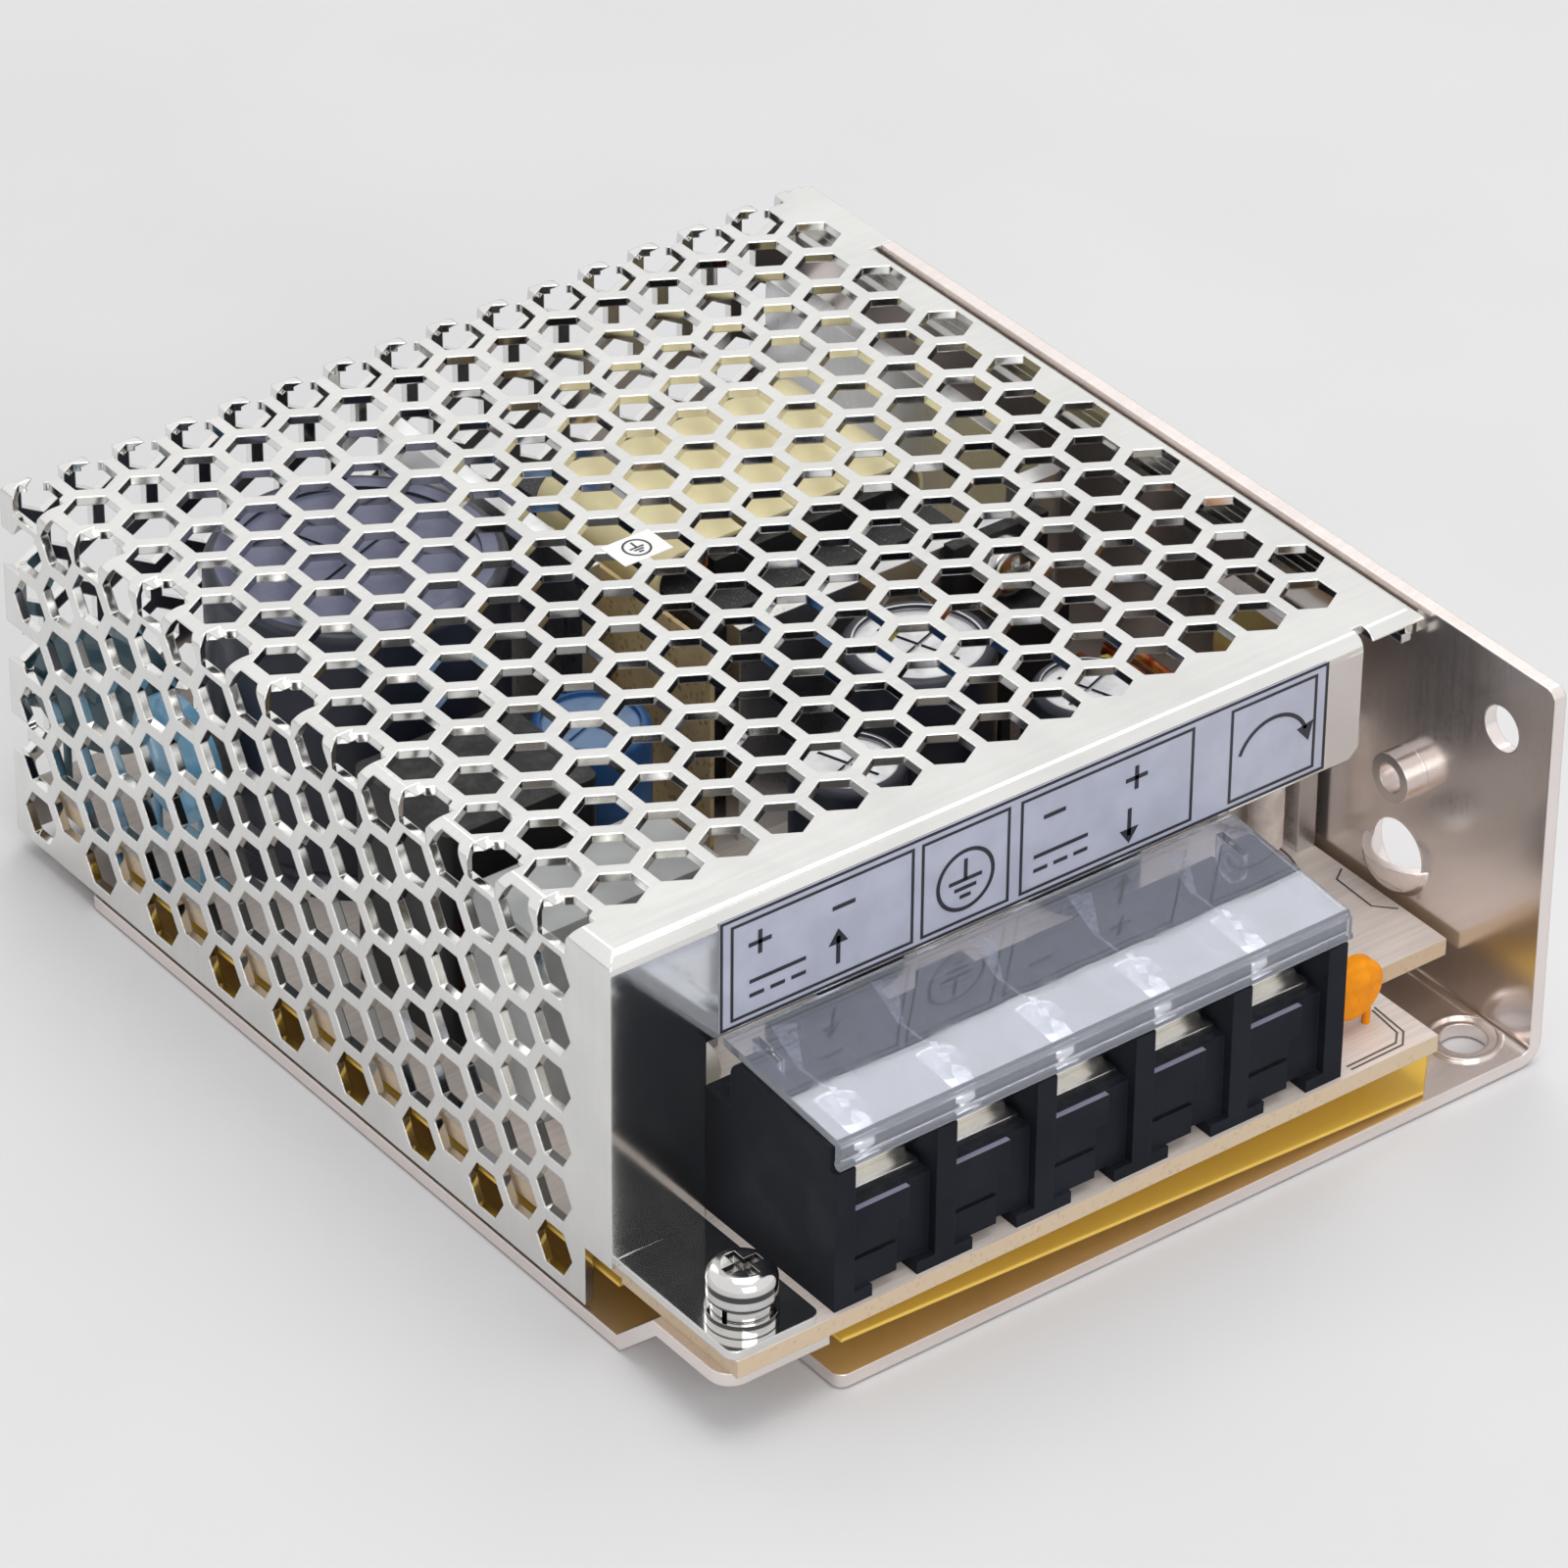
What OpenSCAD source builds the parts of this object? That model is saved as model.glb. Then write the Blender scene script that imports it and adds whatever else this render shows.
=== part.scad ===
// Enclosed switching power supply: an L-shaped sheet chassis, a folded perforated cover,
// a circuit board with its parts, and a screw terminal block under a hinged clear cover.
// The terminals face -Y. The origin is the middle of the footprint, on the underside.

/* [Case] */
// Overall width, left to right
case_w = 82; // [82:1:110]
// Overall length, front to back
case_l = 99; // [99:1:130]
// Overall height
case_h = 36; // [35.5:0.5:50]

/* [Chassis] */
// Sheet thickness of the chassis
chassis_t = 1.2; // [1:0.1:1.5]
// Outer radius of the bend between base and side wall
chassis_bend_r = 2; // [1.8:0.1:3]
// Width of the raised earth tab at the front left
tab_w = 10; // [9:0.5:11]
// Length of the raised tab with its slope
tab_l = 14; // [13:0.5:16]
// Length of the slope alone
tab_slope_l = 4.7; // [4:0.1:6]
// Slit that frees the tab from the base
tab_slit = 0.5; // [0.4:0.1:1]
// Diameter of the two plain mounting holes
mount_hole_d = 4; // [3.2:0.1:4.5]
// Base mounting hole, distance from the right side
base_hole_x = 4.2; // [4:0.1:6]
// Base mounting hole, distance from the front
base_hole_y = 4.6; // [4:0.1:6]
// Wall mounting hole, distance from the front
wall_hole_y = 5.8; // [5:0.1:9]
// Wall mounting hole, distance from the top
wall_hole_z = 6.4; // [5:0.1:9]
// Bore of the tapped bosses in the side wall
boss_bore_d = 2.5; // [2:0.1:3.3]
// Outer diameter of the tapped bosses
boss_d = 4.4; // [4.2:0.1:6]
// How far the bosses stand in from the wall
boss_h = 2.1; // [1:0.1:2.5]
// Height of the boss centres
boss_z = 20; // [16:0.5:24]
// Front boss, distance from the front
boss_front_y = 16.2; // [13:0.1:20]
// Rear boss, distance from the back
boss_back_y = 17; // [14:0.5:30]

/* [Cover] */
// Sheet thickness of the cover
cover_t = 0.8; // [0.6:0.05:1]
// Outer radius of the cover's folds
cover_fold_r = 1.3; // [1.1:0.1:1.8]
// Depth of the open terminal bay in front of the cover
bay_l = 15; // [15:0.5:20]
// Height of the front lip
lip_h = 11.2; // [8:0.1:11.2]
// Width of the front-left flange with its foot
flange_w = 9; // [8.2:0.1:9.4]
// Plain margin on the right of the lip
lip_right = 8; // [7:0.5:12]
// Height of the hooked edge inside the side wall
hook_h = 3; // [2.5:0.1:4]
// Length of the rear ear that lies over the side wall
ear_l = 13; // [8:0.5:20]
// Hole size across flats
hex_flats = 4.1; // [3.5:0.1:4.4]
// Hole pitch along a row
hex_pitch = 5.25; // [5.1:0.05:6.5]
// First row of holes, distance behind the lip
hex_front = 7.5; // [6:0.5:12]
// Holes in the left side start this far below the top
hex_side_top = 2.4; // [2.4:0.1:4]

/* [Circuit board] */
// Board thickness
board_t = 1.6; // [1.2:0.1:2]
// Gap between base and board
board_gap = 4.4; // [4:0.1:5]
// Clearance between board and the metal round it
board_clear = 0.7; // [0.5:0.1:1.2]
// Thickness of the insulation sheet
film_t = 0.35; // [0.2:0.05:0.5]
// Outer diameter of the drawn standoffs
standoff_d = 6.4; // [5.6:0.2:8]

/* [Terminal block] */
// Distance between neighbouring terminals
pole_pitch = 9.73; // [9.2:0.01:9.9]
// Thickness of the barriers between terminals
barrier_t = 1.9; // [1.6:0.1:2.2]
// Depth of the block, front to back
block_l = 16.6; // [16:0.1:17.2]
// Height of the terminal seats above the board
seat_h = 8.6; // [8:0.1:9]
// Thickness of the terminal plates
plate_t = 0.8; // [0.6:0.1:1]
// Thickness of the clamp squares
clamp_t = 0.8; // [0.6:0.1:0.9]
// Diameter of the terminal screw heads
screw_head_d = 6.2; // [5.5:0.1:6.6]
// Height of the terminal screw heads
screw_head_h = 2.2; // [1.8:0.1:2.3]
// Diameter of the terminal screw shanks
screw_d = 3.4; // [3:0.1:3.6]
// Thickness of the clear cover
clear_t = 0.7; // [0.6:0.05:0.8]
// Diameter of the clear cover's hinge pins
pin_d = 1.6; // [1.2:0.1:1.8]

/* [Parts on the board] */
// Diameter of the bulk capacitor
bulk_d = 25; // [20:0.5:25.5]
// Headroom between the bulk capacitor and the cover
bulk_headroom = 2.4; // [1:0.1:10]
// Transformer width
trafo_w = 28.5; // [24:0.5:29]
// Transformer length over the core
trafo_l = 27; // [22:0.5:27.5]
// Transformer height
trafo_h = 23.6; // [20:0.2:24.5]
// Diameter of the large output capacitor
out_cap_d = 13; // [10:0.5:13]
// Diameter of the two small output capacitors
small_cap_d = 9.5; // [7:0.5:10]
// Height of the output capacitors
out_cap_h = 20; // [14:0.5:24]
// Thickness of the heatsink plates
sink_t = 1.8; // [1.5:0.1:2]
// Height of the heatsink plates
sink_h = 23.5; // [20:0.5:25]
// Height of the line filter choke
choke_h = 20.5; // [16:0.5:24]
// Height of the box capacitor
box_cap_h = 18; // [12:0.5:22]
// Diameter of the disc capacitor in the terminal bay
disc_d = 5.6; // [5:0.2:7]
// Side of the trimmer's square body
trimmer_w = 6.4; // [5.6:0.2:6.6]

/* [Hidden] */
$fn = 48;

// Overlap that lets one solid cut cleanly through another
cut = 0.1;

// Levels and faces that the pieces share
base_top = chassis_t;
wall_in = case_w - chassis_t;
board_z = base_top + board_gap;
board_top = board_z + board_t;
board_side_gap = 0.1;
board_x0 = cover_t + board_side_gap;
board_x1 = wall_in - board_clear;
board_y0 = 0.2;
board_y1 = case_l - cover_t - board_clear;
hook_gap = 0.2;
cover_x1 = wall_in - hook_gap;
cover_lift = 0.4;
cover_z0 = base_top + cover_lift;
cover_in_z = case_h - cover_t;
base_ring_rim = 1.2;
base_ring_d = mount_hole_d + 2 * base_ring_rim;

// Earth screw stack on the raised tab
earth_shift = 1.05;
earth_x = tab_w / 2 - earth_shift;
earth_y = 3.7;
earth_d = 3;
earth_clear = 0.2;
earth_head_d = 5.6;
earth_head_h = 2.6;
washer_d = 5.8;
washer_t = 1.2;

// Board standoffs and their screws
standoff_left = 15.1;
standoff_middle = 18.1;
standoff_right = 10.1;
standoff_back = 3.7;
standoff_front = 7;
standoffs = [
    [board_x0 + standoff_left, board_y1 - standoff_back],
    [board_x1 - standoff_middle, board_y1 - standoff_back],
    [board_x1 - standoff_right, bay_l + standoff_front]
];
board_screw_d = 2.6;
board_screw_head_d = 5;
board_screw_head_h = 1.8;

// Honeycomb pattern
hex_r = hex_flats / sqrt(3);
hex_row = hex_pitch * sqrt(3) / 2;
hex_first_x = 1;
hex_margin = 1;
hex_low_margin = 0.8;
hex_rows = floor((case_l - bay_l - hex_front - hex_r) / hex_row) + 1;
hex_cols = floor((cover_x1 - hex_first_x - hex_pitch / 2 - hex_flats / 2 - hex_margin) / hex_pitch) + 1;
hex_side_span = case_h - hex_side_top - cover_z0 - hex_pitch / 2 - hex_flats / 2 - hex_low_margin;
hex_side_rows = floor(hex_side_span / hex_pitch) + 1;
hex_back_top = 1.6;
hex_back_rows = floor((case_h - hex_back_top - cover_z0 - hex_r - hex_low_margin) / hex_row) + 1;

// Terminal block
pole_count = 5;
block_over = 0.1;
block_x0 = tab_w + tab_slit - block_over;
block_x1 = block_x0 + pole_count * pole_pitch + barrier_t;
block_y0 = 0.6;
block_y1 = block_y0 + block_l;
block_skirt = 1.1;
seat_z = board_top + seat_h;
plate_top = seat_z + plate_t;
clamp_top = plate_top + clamp_t;
pole_gap = pole_pitch - barrier_t;
screw_y = 7.3;
screw_len = 6.5;
screw_clear = 0.2;
rear_wall_t = 2.6;
rear_wall_h = 11.6;
rear_wall_z = board_top + rear_wall_h;
barrier_front_h = 13;
barrier_front_z = board_top + barrier_front_h;
barrier_front_set = 0.7;

// Clear cover over the terminals
clear_y0 = 0;
clear_lip_gap = 0.15;
clear_y1 = bay_l - clear_lip_gap;
clear_front_h = 16.2;
clear_rear_h = 17.5;
clear_lip_h = 2.7;
clear_bead_d = 1;
clear_top_front = board_top + clear_front_h;
clear_top_rear = board_top + clear_rear_h;
clear_lip_z = clear_top_front - clear_lip_h;
hinge_h = 14.7;
hinge_y = 12.2;
hinge_z = board_top + hinge_h;
hinge_clear = 0.1;
ear_r = 1.6;
lug_t = 0.65;
lug_gap = 0.15;
pin_skin = 0.6;

// Parts in the terminal bay
disc_t = 2.2;
disc_gap = 1.9;
disc_x = block_x1 + disc_gap + disc_d / 2;
disc_y = 5;
disc_lift = 1.3;
trimmer_side_gap = 0.8;
trimmer_back_gap = 0.4;
trimmer_x = block_x1 + trimmer_side_gap + trimmer_w / 2;
trimmer_y = bay_l - trimmer_back_gap - trimmer_w / 2;
trimmer_h = 4.6;
rotor_d = 4.4;
rotor_h = 1.2;
rotor_sunk = 0.72;
rotor_base_h = trimmer_h - rotor_sunk;
notch_gap = 2.4;
notch_x = disc_x + disc_d / 2 + notch_gap;
notch_y = 9.8;

// Sizes of the parts behind the lip
bulk_h = cover_in_z - board_top - bulk_headroom;
primary_sink_l = 29;
trafo_tape_t = 0.4;
trafo_core_lift = 1.8;
trafo_core_z = board_top + trafo_core_lift;
output_sink_drop = 2.7;
package_w = 10;
package_t = 4.4;
package_h = 9.2;
package_tab_h = 15.6;
package_tab_t = 1.3;
package_lead_l = 5.5;
package_hole_h = 12.6;
package_screw_z = board_top + package_lead_l + package_hole_h;
sink_hole_d = 3.2;
choke_w = 15;
choke_l = 13;
choke_base = 3;
choke_lid = 5;
choke_window_h = choke_h - choke_base - choke_lid;
choke_wall = 1.2;
box_cap_w = 18;
box_cap_l = 9;
blue_cap_d = 10;
blue_cap_h = 17;
safety_d = 11;
safety_t = 3.6;
varistor_d = 12;
varistor_t = 3.8;
side_plate_t = 1.9;
side_plate_l = 11.6;
side_plate_h = 20.5;
toroid_d = 12;
toroid_t = 5;
toroid_bore = 5.6;
toroid_lift = 0.7;
toroid_z = board_top + toroid_d / 2 + toroid_lift;
chip_w = 6.4;

// Widths left over across the board are shared out between the parts that stand in a row
disc_bay_w = 6.4;
bulk_x = board_x0 + disc_bay_w + bulk_d / 2;
spare_w = board_x1 - board_x0 - disc_bay_w - bulk_d - trafo_w - 2 * sink_t;
primary_sink_share = 0.166;
trafo_share = 0.204;
output_arm_share = 0.217;
primary_sink_x = bulk_x + bulk_d / 2 + primary_sink_share * spare_w;
trafo_x0 = primary_sink_x + sink_t + trafo_share * spare_w;
output_sink_x1 = board_x1 - output_arm_share * spare_w;
output_sink_inset = 2.5;
output_sink_x0 = trafo_x0 + output_sink_inset;

// Lengths left over on the left, from the lip back: box capacitor, choke, bulk capacitor
lip_in_y = bay_l + cover_t;
spare_left = board_y1 - lip_in_y - box_cap_l - choke_l - bulk_d;
box_cap_share = 0.504;
choke_share = 0.087;
bulk_share = 0.173;
box_cap_y0 = lip_in_y + box_cap_share * spare_left;
box_cap_y1 = box_cap_y0 + box_cap_l;
choke_y0 = box_cap_y1 + choke_share * spare_left;
choke_y1 = choke_y0 + choke_l;
bulk_y = choke_y1 + bulk_share * spare_left + bulk_d / 2;

// Lengths left over on the right, from the lip back: small capacitor, large capacitor, plate, transformer
spare_right = board_y1 - lip_in_y - small_cap_d - out_cap_d - sink_t - trafo_l;
front_cap_share = 0.408;
out_cap_share = 0.066;
output_sink_share = 0.079;
trafo_gap_share = 0.053;
front_cap_y = lip_in_y + front_cap_share * spare_right + small_cap_d / 2;
out_cap_y = front_cap_y + small_cap_d / 2 + out_cap_share * spare_right + out_cap_d / 2;
output_sink_y1 = out_cap_y + out_cap_d / 2 + output_sink_share * spare_right + sink_t;
trafo_y0 = output_sink_y1 + trafo_gap_share * spare_right;
trafo_y1 = trafo_y0 + trafo_l;

// Transformer core and the winding inside it
yoke = 3.4;
limb = 3.6;
core_centre = 8;
core_inset = 1.4;
core_over = 5.2;
core_h = trafo_h - core_over;
core_x0 = trafo_x0 + core_inset;
core_x1 = trafo_x0 + trafo_w - core_inset;
core_middle = (core_x0 + core_x1) / 2;
window_gap = 0.4;
flange_t = 1;
winding_half = (core_x1 - core_x0) / 2 - limb - window_gap;
winding_drop = 1.2;
winding_rise = 2.4;
winding_z1 = trafo_core_z + core_h + winding_rise;

// Places that follow from those rows
primary_sink_back = 2;
primary_sink_y0 = board_y1 - primary_sink_back - primary_sink_l;
transistor_y = primary_sink_y0 + primary_sink_l - package_w / 2;
output_arm_back = 3;
output_arm_y1 = board_y1 - output_arm_back;
rectifier_inset = 8.3;
rectifier_x = output_sink_x1 - rectifier_inset;
out_cap_inset = 4.9;
out_cap_x = output_sink_x0 + out_cap_inset + out_cap_d / 2;
cap_gap = 3.8;
left_cap_x = out_cap_x - out_cap_d / 2 - cap_gap - small_cap_d / 2;
left_cap_set = 10.2;
left_cap_y = out_cap_y - left_cap_set;
front_cap_set = 7;
front_cap_x = out_cap_x + front_cap_set;
choke_inset = 5.4;
choke_x0 = board_x0 + choke_inset;
box_cap_x0 = choke_x0;
blue_cap_gap = 2;
blue_cap_x = choke_x0 + choke_w + blue_cap_gap + blue_cap_d / 2;
blue_cap_y = choke_y1 - blue_cap_gap;
safety_inset = 3;
safety_x = board_x0 + safety_inset;
safety_y = bulk_y + safety_inset;
varistor_inset = 4.2;
varistor_back = 5;
varistor_x = board_x0 + varistor_inset;
varistor_y = board_y1 - varistor_back;
toroid_share = 0.545;
toroid_x = out_cap_x + out_cap_d / 2 + toroid_share * (board_x1 - out_cap_x - out_cap_d / 2);
toroid_set = 4.6;
toroid_y = out_cap_y - toroid_set;
toroid_front_gap = 1.2;
side_plate_y1 = toroid_y - toroid_t / 2 - toroid_front_gap;
side_plate_x0 = board_x1 - side_plate_t;

// Draws its children in a frame whose corner is the case's front-left-bottom corner
module in_case() {
    translate([-case_w / 2, -case_l / 2, 0])
        children();
}

// Box given by its low corner and its high corner
module block(low, high) {
    translate(low)
        cube(high - low);
}

// Cylinders along each axis, from a start point
module rod_x(p, d, l, sides = 48) {
    translate(p)
        rotate([0, 90, 0])
            cylinder(d = d, h = l, $fn = sides);
}

module rod_y(p, d, l, sides = 48) {
    translate(p)
        rotate([-90, 0, 0])
            cylinder(d = d, h = l, $fn = sides);
}

module rod_z(p, d, l, sides = 48) {
    translate(p)
        cylinder(d = d, h = l, $fn = sides);
}

// Cutter that rounds a convex edge along Z standing at the origin, with material towards +X +Y
module edge_cutter(r, l) {
    difference() {
        translate([-cut, -cut, -cut])
            cube([r + cut, r + cut, l + 2 * cut]);
        translate([r, r, -2 * cut])
            cylinder(r = r, h = l + 4 * cut);
    }
}

// Box whose four upper edges are folds of the given radius
module folded_box(low, high, r) {
    size = high - low;
    difference() {
        block(low, high);
        translate([low[0], high[1], high[2]])
            rotate([90, 0, 0])
                mirror([0, 1, 0])
                    edge_cutter(r, size[1]);
        translate([high[0], low[1], high[2]])
            rotate([-90, 0, 0])
                mirror([1, 0, 0])
                    edge_cutter(r, size[1]);
        translate([low[0], low[1], high[2]])
            rotate([90, 0, 90])
                mirror([0, 1, 0])
                    edge_cutter(r, size[0]);
        translate([high[0], high[1], high[2]])
            rotate([90, 0, -90])
                mirror([0, 1, 0])
                    edge_cutter(r, size[0]);
    }
}

// Box with round vertical edges
module soft_box(low, high, r) {
    size = high - low;
    difference() {
        block(low, high);
        translate(low)
            edge_cutter(r, size[2]);
        translate([high[0], low[1], low[2]])
            rotate(90)
                edge_cutter(r, size[2]);
        translate([high[0], high[1], low[2]])
            rotate(180)
                edge_cutter(r, size[2]);
        translate([low[0], high[1], low[2]])
            rotate(270)
                edge_cutter(r, size[2]);
    }
}

// Six-sided punch along Z, its corners on the Y axis
module hex_punch(l) {
    rotate(90)
        cylinder(r = hex_r, h = l, center = true, $fn = 6);
}

// Screw with a domed head, a cross recess and a plain shank, standing on z = 0
module pan_screw(head_d, head_h, shank_d, shank_l) {
    recess_w = head_d * 0.16;
    recess_l = head_d * 0.58;
    recess_h = head_h * 0.5;
    dome_r = head_h * 0.45;
    difference() {
        union() {
            rotate_extrude()
                difference() {
                    square([head_d / 2, head_h]);
                    translate([head_d / 2 - dome_r, head_h - dome_r])
                        difference() {
                            square(head_h);
                            circle(r = dome_r);
                        }
                }
            translate([0, 0, -shank_l])
                cylinder(d = shank_d, h = shank_l + cut);
        }
        for (turn = [0, 90])
            rotate(turn)
                translate([-recess_l / 2, -recess_w / 2, head_h - recess_h])
                    cube([recess_l, recess_w, recess_h + cut]);
    }
}

// Standing can capacitor: sleeve with a crimp groove, rolled top edge and scored lid
module can_capacitor(d, h) {
    groove_r = 0.5;
    groove_z = 2.2;
    groove_out = groove_r * 0.45;
    lid_rim = d * 0.09;
    lid_drop = 0.35;
    score_w = 0.35;
    score_h = 0.25;
    score_l = d * 0.6;
    score_turn = 20;
    top_r = min(0.8, d * 0.08);
    difference() {
        cylinder(d = d, h = h);
        rotate_extrude()
            translate([d / 2 + groove_out, groove_z])
                circle(r = groove_r);
        rotate_extrude()
            translate([d / 2 - top_r, h - top_r])
                difference() {
                    square(top_r + cut);
                    circle(r = top_r);
                }
        translate([0, 0, h - lid_drop])
            cylinder(d = d - 2 * lid_rim, h = lid_drop + cut);
        for (turn = [0, 90])
            rotate(turn + score_turn)
                translate([-score_l / 2, -score_w / 2, h - lid_drop - score_h])
                    cube([score_l, score_w, lid_drop + score_h]);
    }
}

// Disc with a lens section whose axis lies along X, on two leads that reach the board
module disc_part(d, t, lift) {
    lead_d = 0.7;
    lead_pitch = d * 0.6;
    lead_in = d * 0.3;
    rim = t * 0.45;
    shoulder_r = d * 0.42;
    shoulder_t = t * 0.34;
    crown_r = d * 0.22;
    crown_t = t * 0.46;
    translate([0, 0, lift + d / 2])
        rotate([0, 90, 0])
            rotate_extrude()
                polygon([
                    [0, -t / 2], [crown_r, -crown_t], [shoulder_r, -shoulder_t], [d / 2, -rim / 2],
                    [d / 2, rim / 2], [shoulder_r, shoulder_t], [crown_r, crown_t], [0, t / 2]
                ]);
    for (side = [-1, 1])
        rod_z([0, side * lead_pitch / 2, 0], lead_d, lift + lead_in, 16);
}

// Three-lead power package: moulded body, metal tab behind it with a hole, legs to the board.
// It stands with its tab on the plane y = 0 and its face towards -Y.
module power_package() {
    lead_w = 0.9;
    lead_t = 0.6;
    lead_pitch = 2.54;
    lead_in = 1;
    lead_set = package_t * 0.6;
    hole_d = 3.6;
    chamfer = 0.8;
    difference() {
        union() {
            block([-package_w / 2, -package_tab_t, package_lead_l],
                  [package_w / 2, 0, package_lead_l + package_tab_h]);
            translate([-package_w / 2, 0, package_lead_l])
                rotate([90, 0, 90])
                    linear_extrude(package_w)
                        polygon([
                            [-package_tab_t, 0], [-package_t + chamfer, 0], [-package_t, chamfer],
                            [-package_t, package_h - chamfer], [-package_t + chamfer, package_h],
                            [-package_tab_t, package_h]
                        ]);
            for (i = [-1, 0, 1])
                translate([i * lead_pitch - lead_w / 2, -lead_set, 0])
                    cube([lead_w, lead_t, package_lead_l + lead_in]);
        }
        rod_y([0, -package_tab_t - cut, package_lead_l + package_hole_h], hole_d, package_tab_t + 2 * cut);
    }
}

// Centre of a terminal, counted from 0 on the left
function pole_x(i) = block_x0 + barrier_t / 2 + pole_pitch * (i + 0.5);

// Height of the clear cover's underside at a distance from the front
function clear_under(y) =
    clear_top_front - clear_t + (clear_top_rear - clear_top_front) * (y - clear_y0) / (clear_y1 - clear_y0);

// L-shaped chassis: base and side wall from one bent sheet, with a raised earth tab,
// drawn standoffs, tapped bosses and a lanced board clip in the wall
module chassis() {
    corner_r = 1;
    tab_front = 0.6;
    tab_corner_r = 2;
    tab_under = board_z - chassis_t;
    slope_turn = atan(tab_under / tab_slope_l);
    slope_shift = chassis_t * tan(slope_turn / 2);
    slope_y0 = tab_l - tab_slope_l;
    rear_notch_w = 11;
    rear_notch_l = 11.5;
    ring_h = 0.25;
    ring_w = 0.4;
    cup_wall = 1.1;
    cup_d = standoff_d - 2 * cup_wall;
    clip_r = 4.2;
    clip_y = 17;
    clip_rise = 4.3;
    clip_z = board_top + clip_rise;
    clip_sink = 1.7;
    clip_wall = 0.8;
    color("silver")
        in_case()
            difference() {
                union() {
                    difference() {
                        block([0, 0, 0], [case_w, case_l, case_h]);
                        difference() {
                            block([-cut, -cut, base_top], [wall_in, case_l + cut, case_h + cut]);
                            translate([wall_in, -2 * cut, base_top])
                                rotate([-90, 0, 0])
                                    mirror([1, 0, 0])
                                        mirror([0, 1, 0])
                                            difference() {
                                                translate([-cut, -cut, 0])
                                                    cube([chassis_bend_r - chassis_t + cut,
                                                          chassis_bend_r - chassis_t + cut,
                                                          case_l + 4 * cut]);
                                                translate([chassis_bend_r - chassis_t,
                                                           chassis_bend_r - chassis_t, -cut])
                                                    cylinder(r = chassis_bend_r - chassis_t,
                                                             h = case_l + 6 * cut);
                                            }
                        }
                        translate([case_w, 0, 0])
                            rotate([-90, 0, 0])
                                rotate(180)
                                    edge_cutter(chassis_bend_r, case_l);
                        block([-cut, -cut, -cut], [tab_w + tab_slit, tab_l, case_h]);
                        block([-cut, case_l - rear_notch_l, -cut], [rear_notch_w, case_l + cut, case_h]);
                        translate([tab_w + tab_slit, 0, 0])
                            edge_cutter(corner_r, chassis_t);
                        block([wall_in - cut, case_l - ear_l, cover_in_z],
                              [case_w + cut, case_l + cut, case_h + cut]);
                        translate([wall_in, 0, case_h])
                            rotate([0, 90, 0])
                                edge_cutter(corner_r, chassis_t);
                    }
                    difference() {
                        rotate([90, 0, 90])
                            linear_extrude(tab_w)
                                polygon([
                                    [tab_l, 0], [slope_y0, tab_under], [tab_front, tab_under],
                                    [tab_front, board_z], [slope_y0 + slope_shift, board_z],
                                    [tab_l + slope_shift, chassis_t], [tab_l + slope_shift, 0]
                                ]);
                        translate([0, tab_front, tab_under])
                            edge_cutter(tab_corner_r, chassis_t);
                    }
                    for (p = standoffs)
                        rod_z([p[0], p[1], 0], standoff_d, board_z);
                    for (y = [boss_front_y, case_l - boss_back_y])
                        rod_x([wall_in - boss_h, y, boss_z], boss_d, boss_h + cut);
                    intersection() {
                        translate([wall_in + clip_sink, clip_y, clip_z])
                            sphere(r = clip_r);
                        block([wall_in - clip_r, clip_y - clip_r, clip_z - clip_r],
                              [wall_in + cut, clip_y + clip_r, clip_z]);
                    }
                    difference() {
                        rod_z([case_w - base_hole_x, base_hole_y, base_top - cut], base_ring_d, ring_h + cut);
                        rod_z([case_w - base_hole_x, base_hole_y, base_top - 2 * cut],
                              base_ring_d - 2 * ring_w, ring_h + 4 * cut);
                    }
                }
                translate([wall_in + clip_sink, clip_y, clip_z])
                    sphere(r = clip_r - clip_wall);
                rod_z([case_w - base_hole_x, base_hole_y, -cut], mount_hole_d, chassis_t + ring_h + 2 * cut);
                rod_x([wall_in - cut, wall_hole_y, case_h - wall_hole_z], mount_hole_d, chassis_t + 2 * cut);
                for (y = [boss_front_y, case_l - boss_back_y])
                    rod_x([wall_in - boss_h - cut, y, boss_z], boss_bore_d, boss_h + chassis_t + 2 * cut);
                for (p = standoffs) {
                    rod_z([p[0], p[1], -cut], cup_d, board_z - chassis_t + cut);
                    rod_z([p[0], p[1], 0], board_screw_d + earth_clear, board_z + cut);
                }
                rod_z([earth_x, earth_y, tab_under - cut], earth_d + earth_clear, chassis_t + 2 * cut);
            }
}

// Honeycomb punches for the top, the left side and the back, as one flat pattern carried round the folds
module honeycomb() {
    through = 6 * cover_t;
    for (j = [0 : hex_rows - 1], i = [0 : hex_cols - 1])
        translate([hex_first_x + (j % 2) * hex_pitch / 2 + i * hex_pitch,
                   bay_l + hex_front + j * hex_row, case_h])
            hex_punch(through);
    for (j = [0 : hex_rows - 1], k = [0 : hex_side_rows - 1])
        translate([0, bay_l + hex_front + j * hex_row,
                   case_h - hex_side_top - (1 - j % 2) * hex_pitch / 2 - k * hex_pitch])
            rotate([0, 90, 0])
                hex_punch(through);
    for (j = [0 : 2 : hex_rows - 1])
        translate([0, bay_l + hex_front + j * hex_row, case_h])
            rotate([0, 90, 0])
                hex_punch(through);
    for (k = [0 : hex_back_rows - 1], i = [0 : hex_cols - 1])
        translate([hex_first_x + ((hex_rows + k) % 2) * hex_pitch / 2 + i * hex_pitch, case_l,
                   case_h - hex_back_top - k * hex_row])
            rotate([90, 0, 0])
                hex_punch(through);
}

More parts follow.
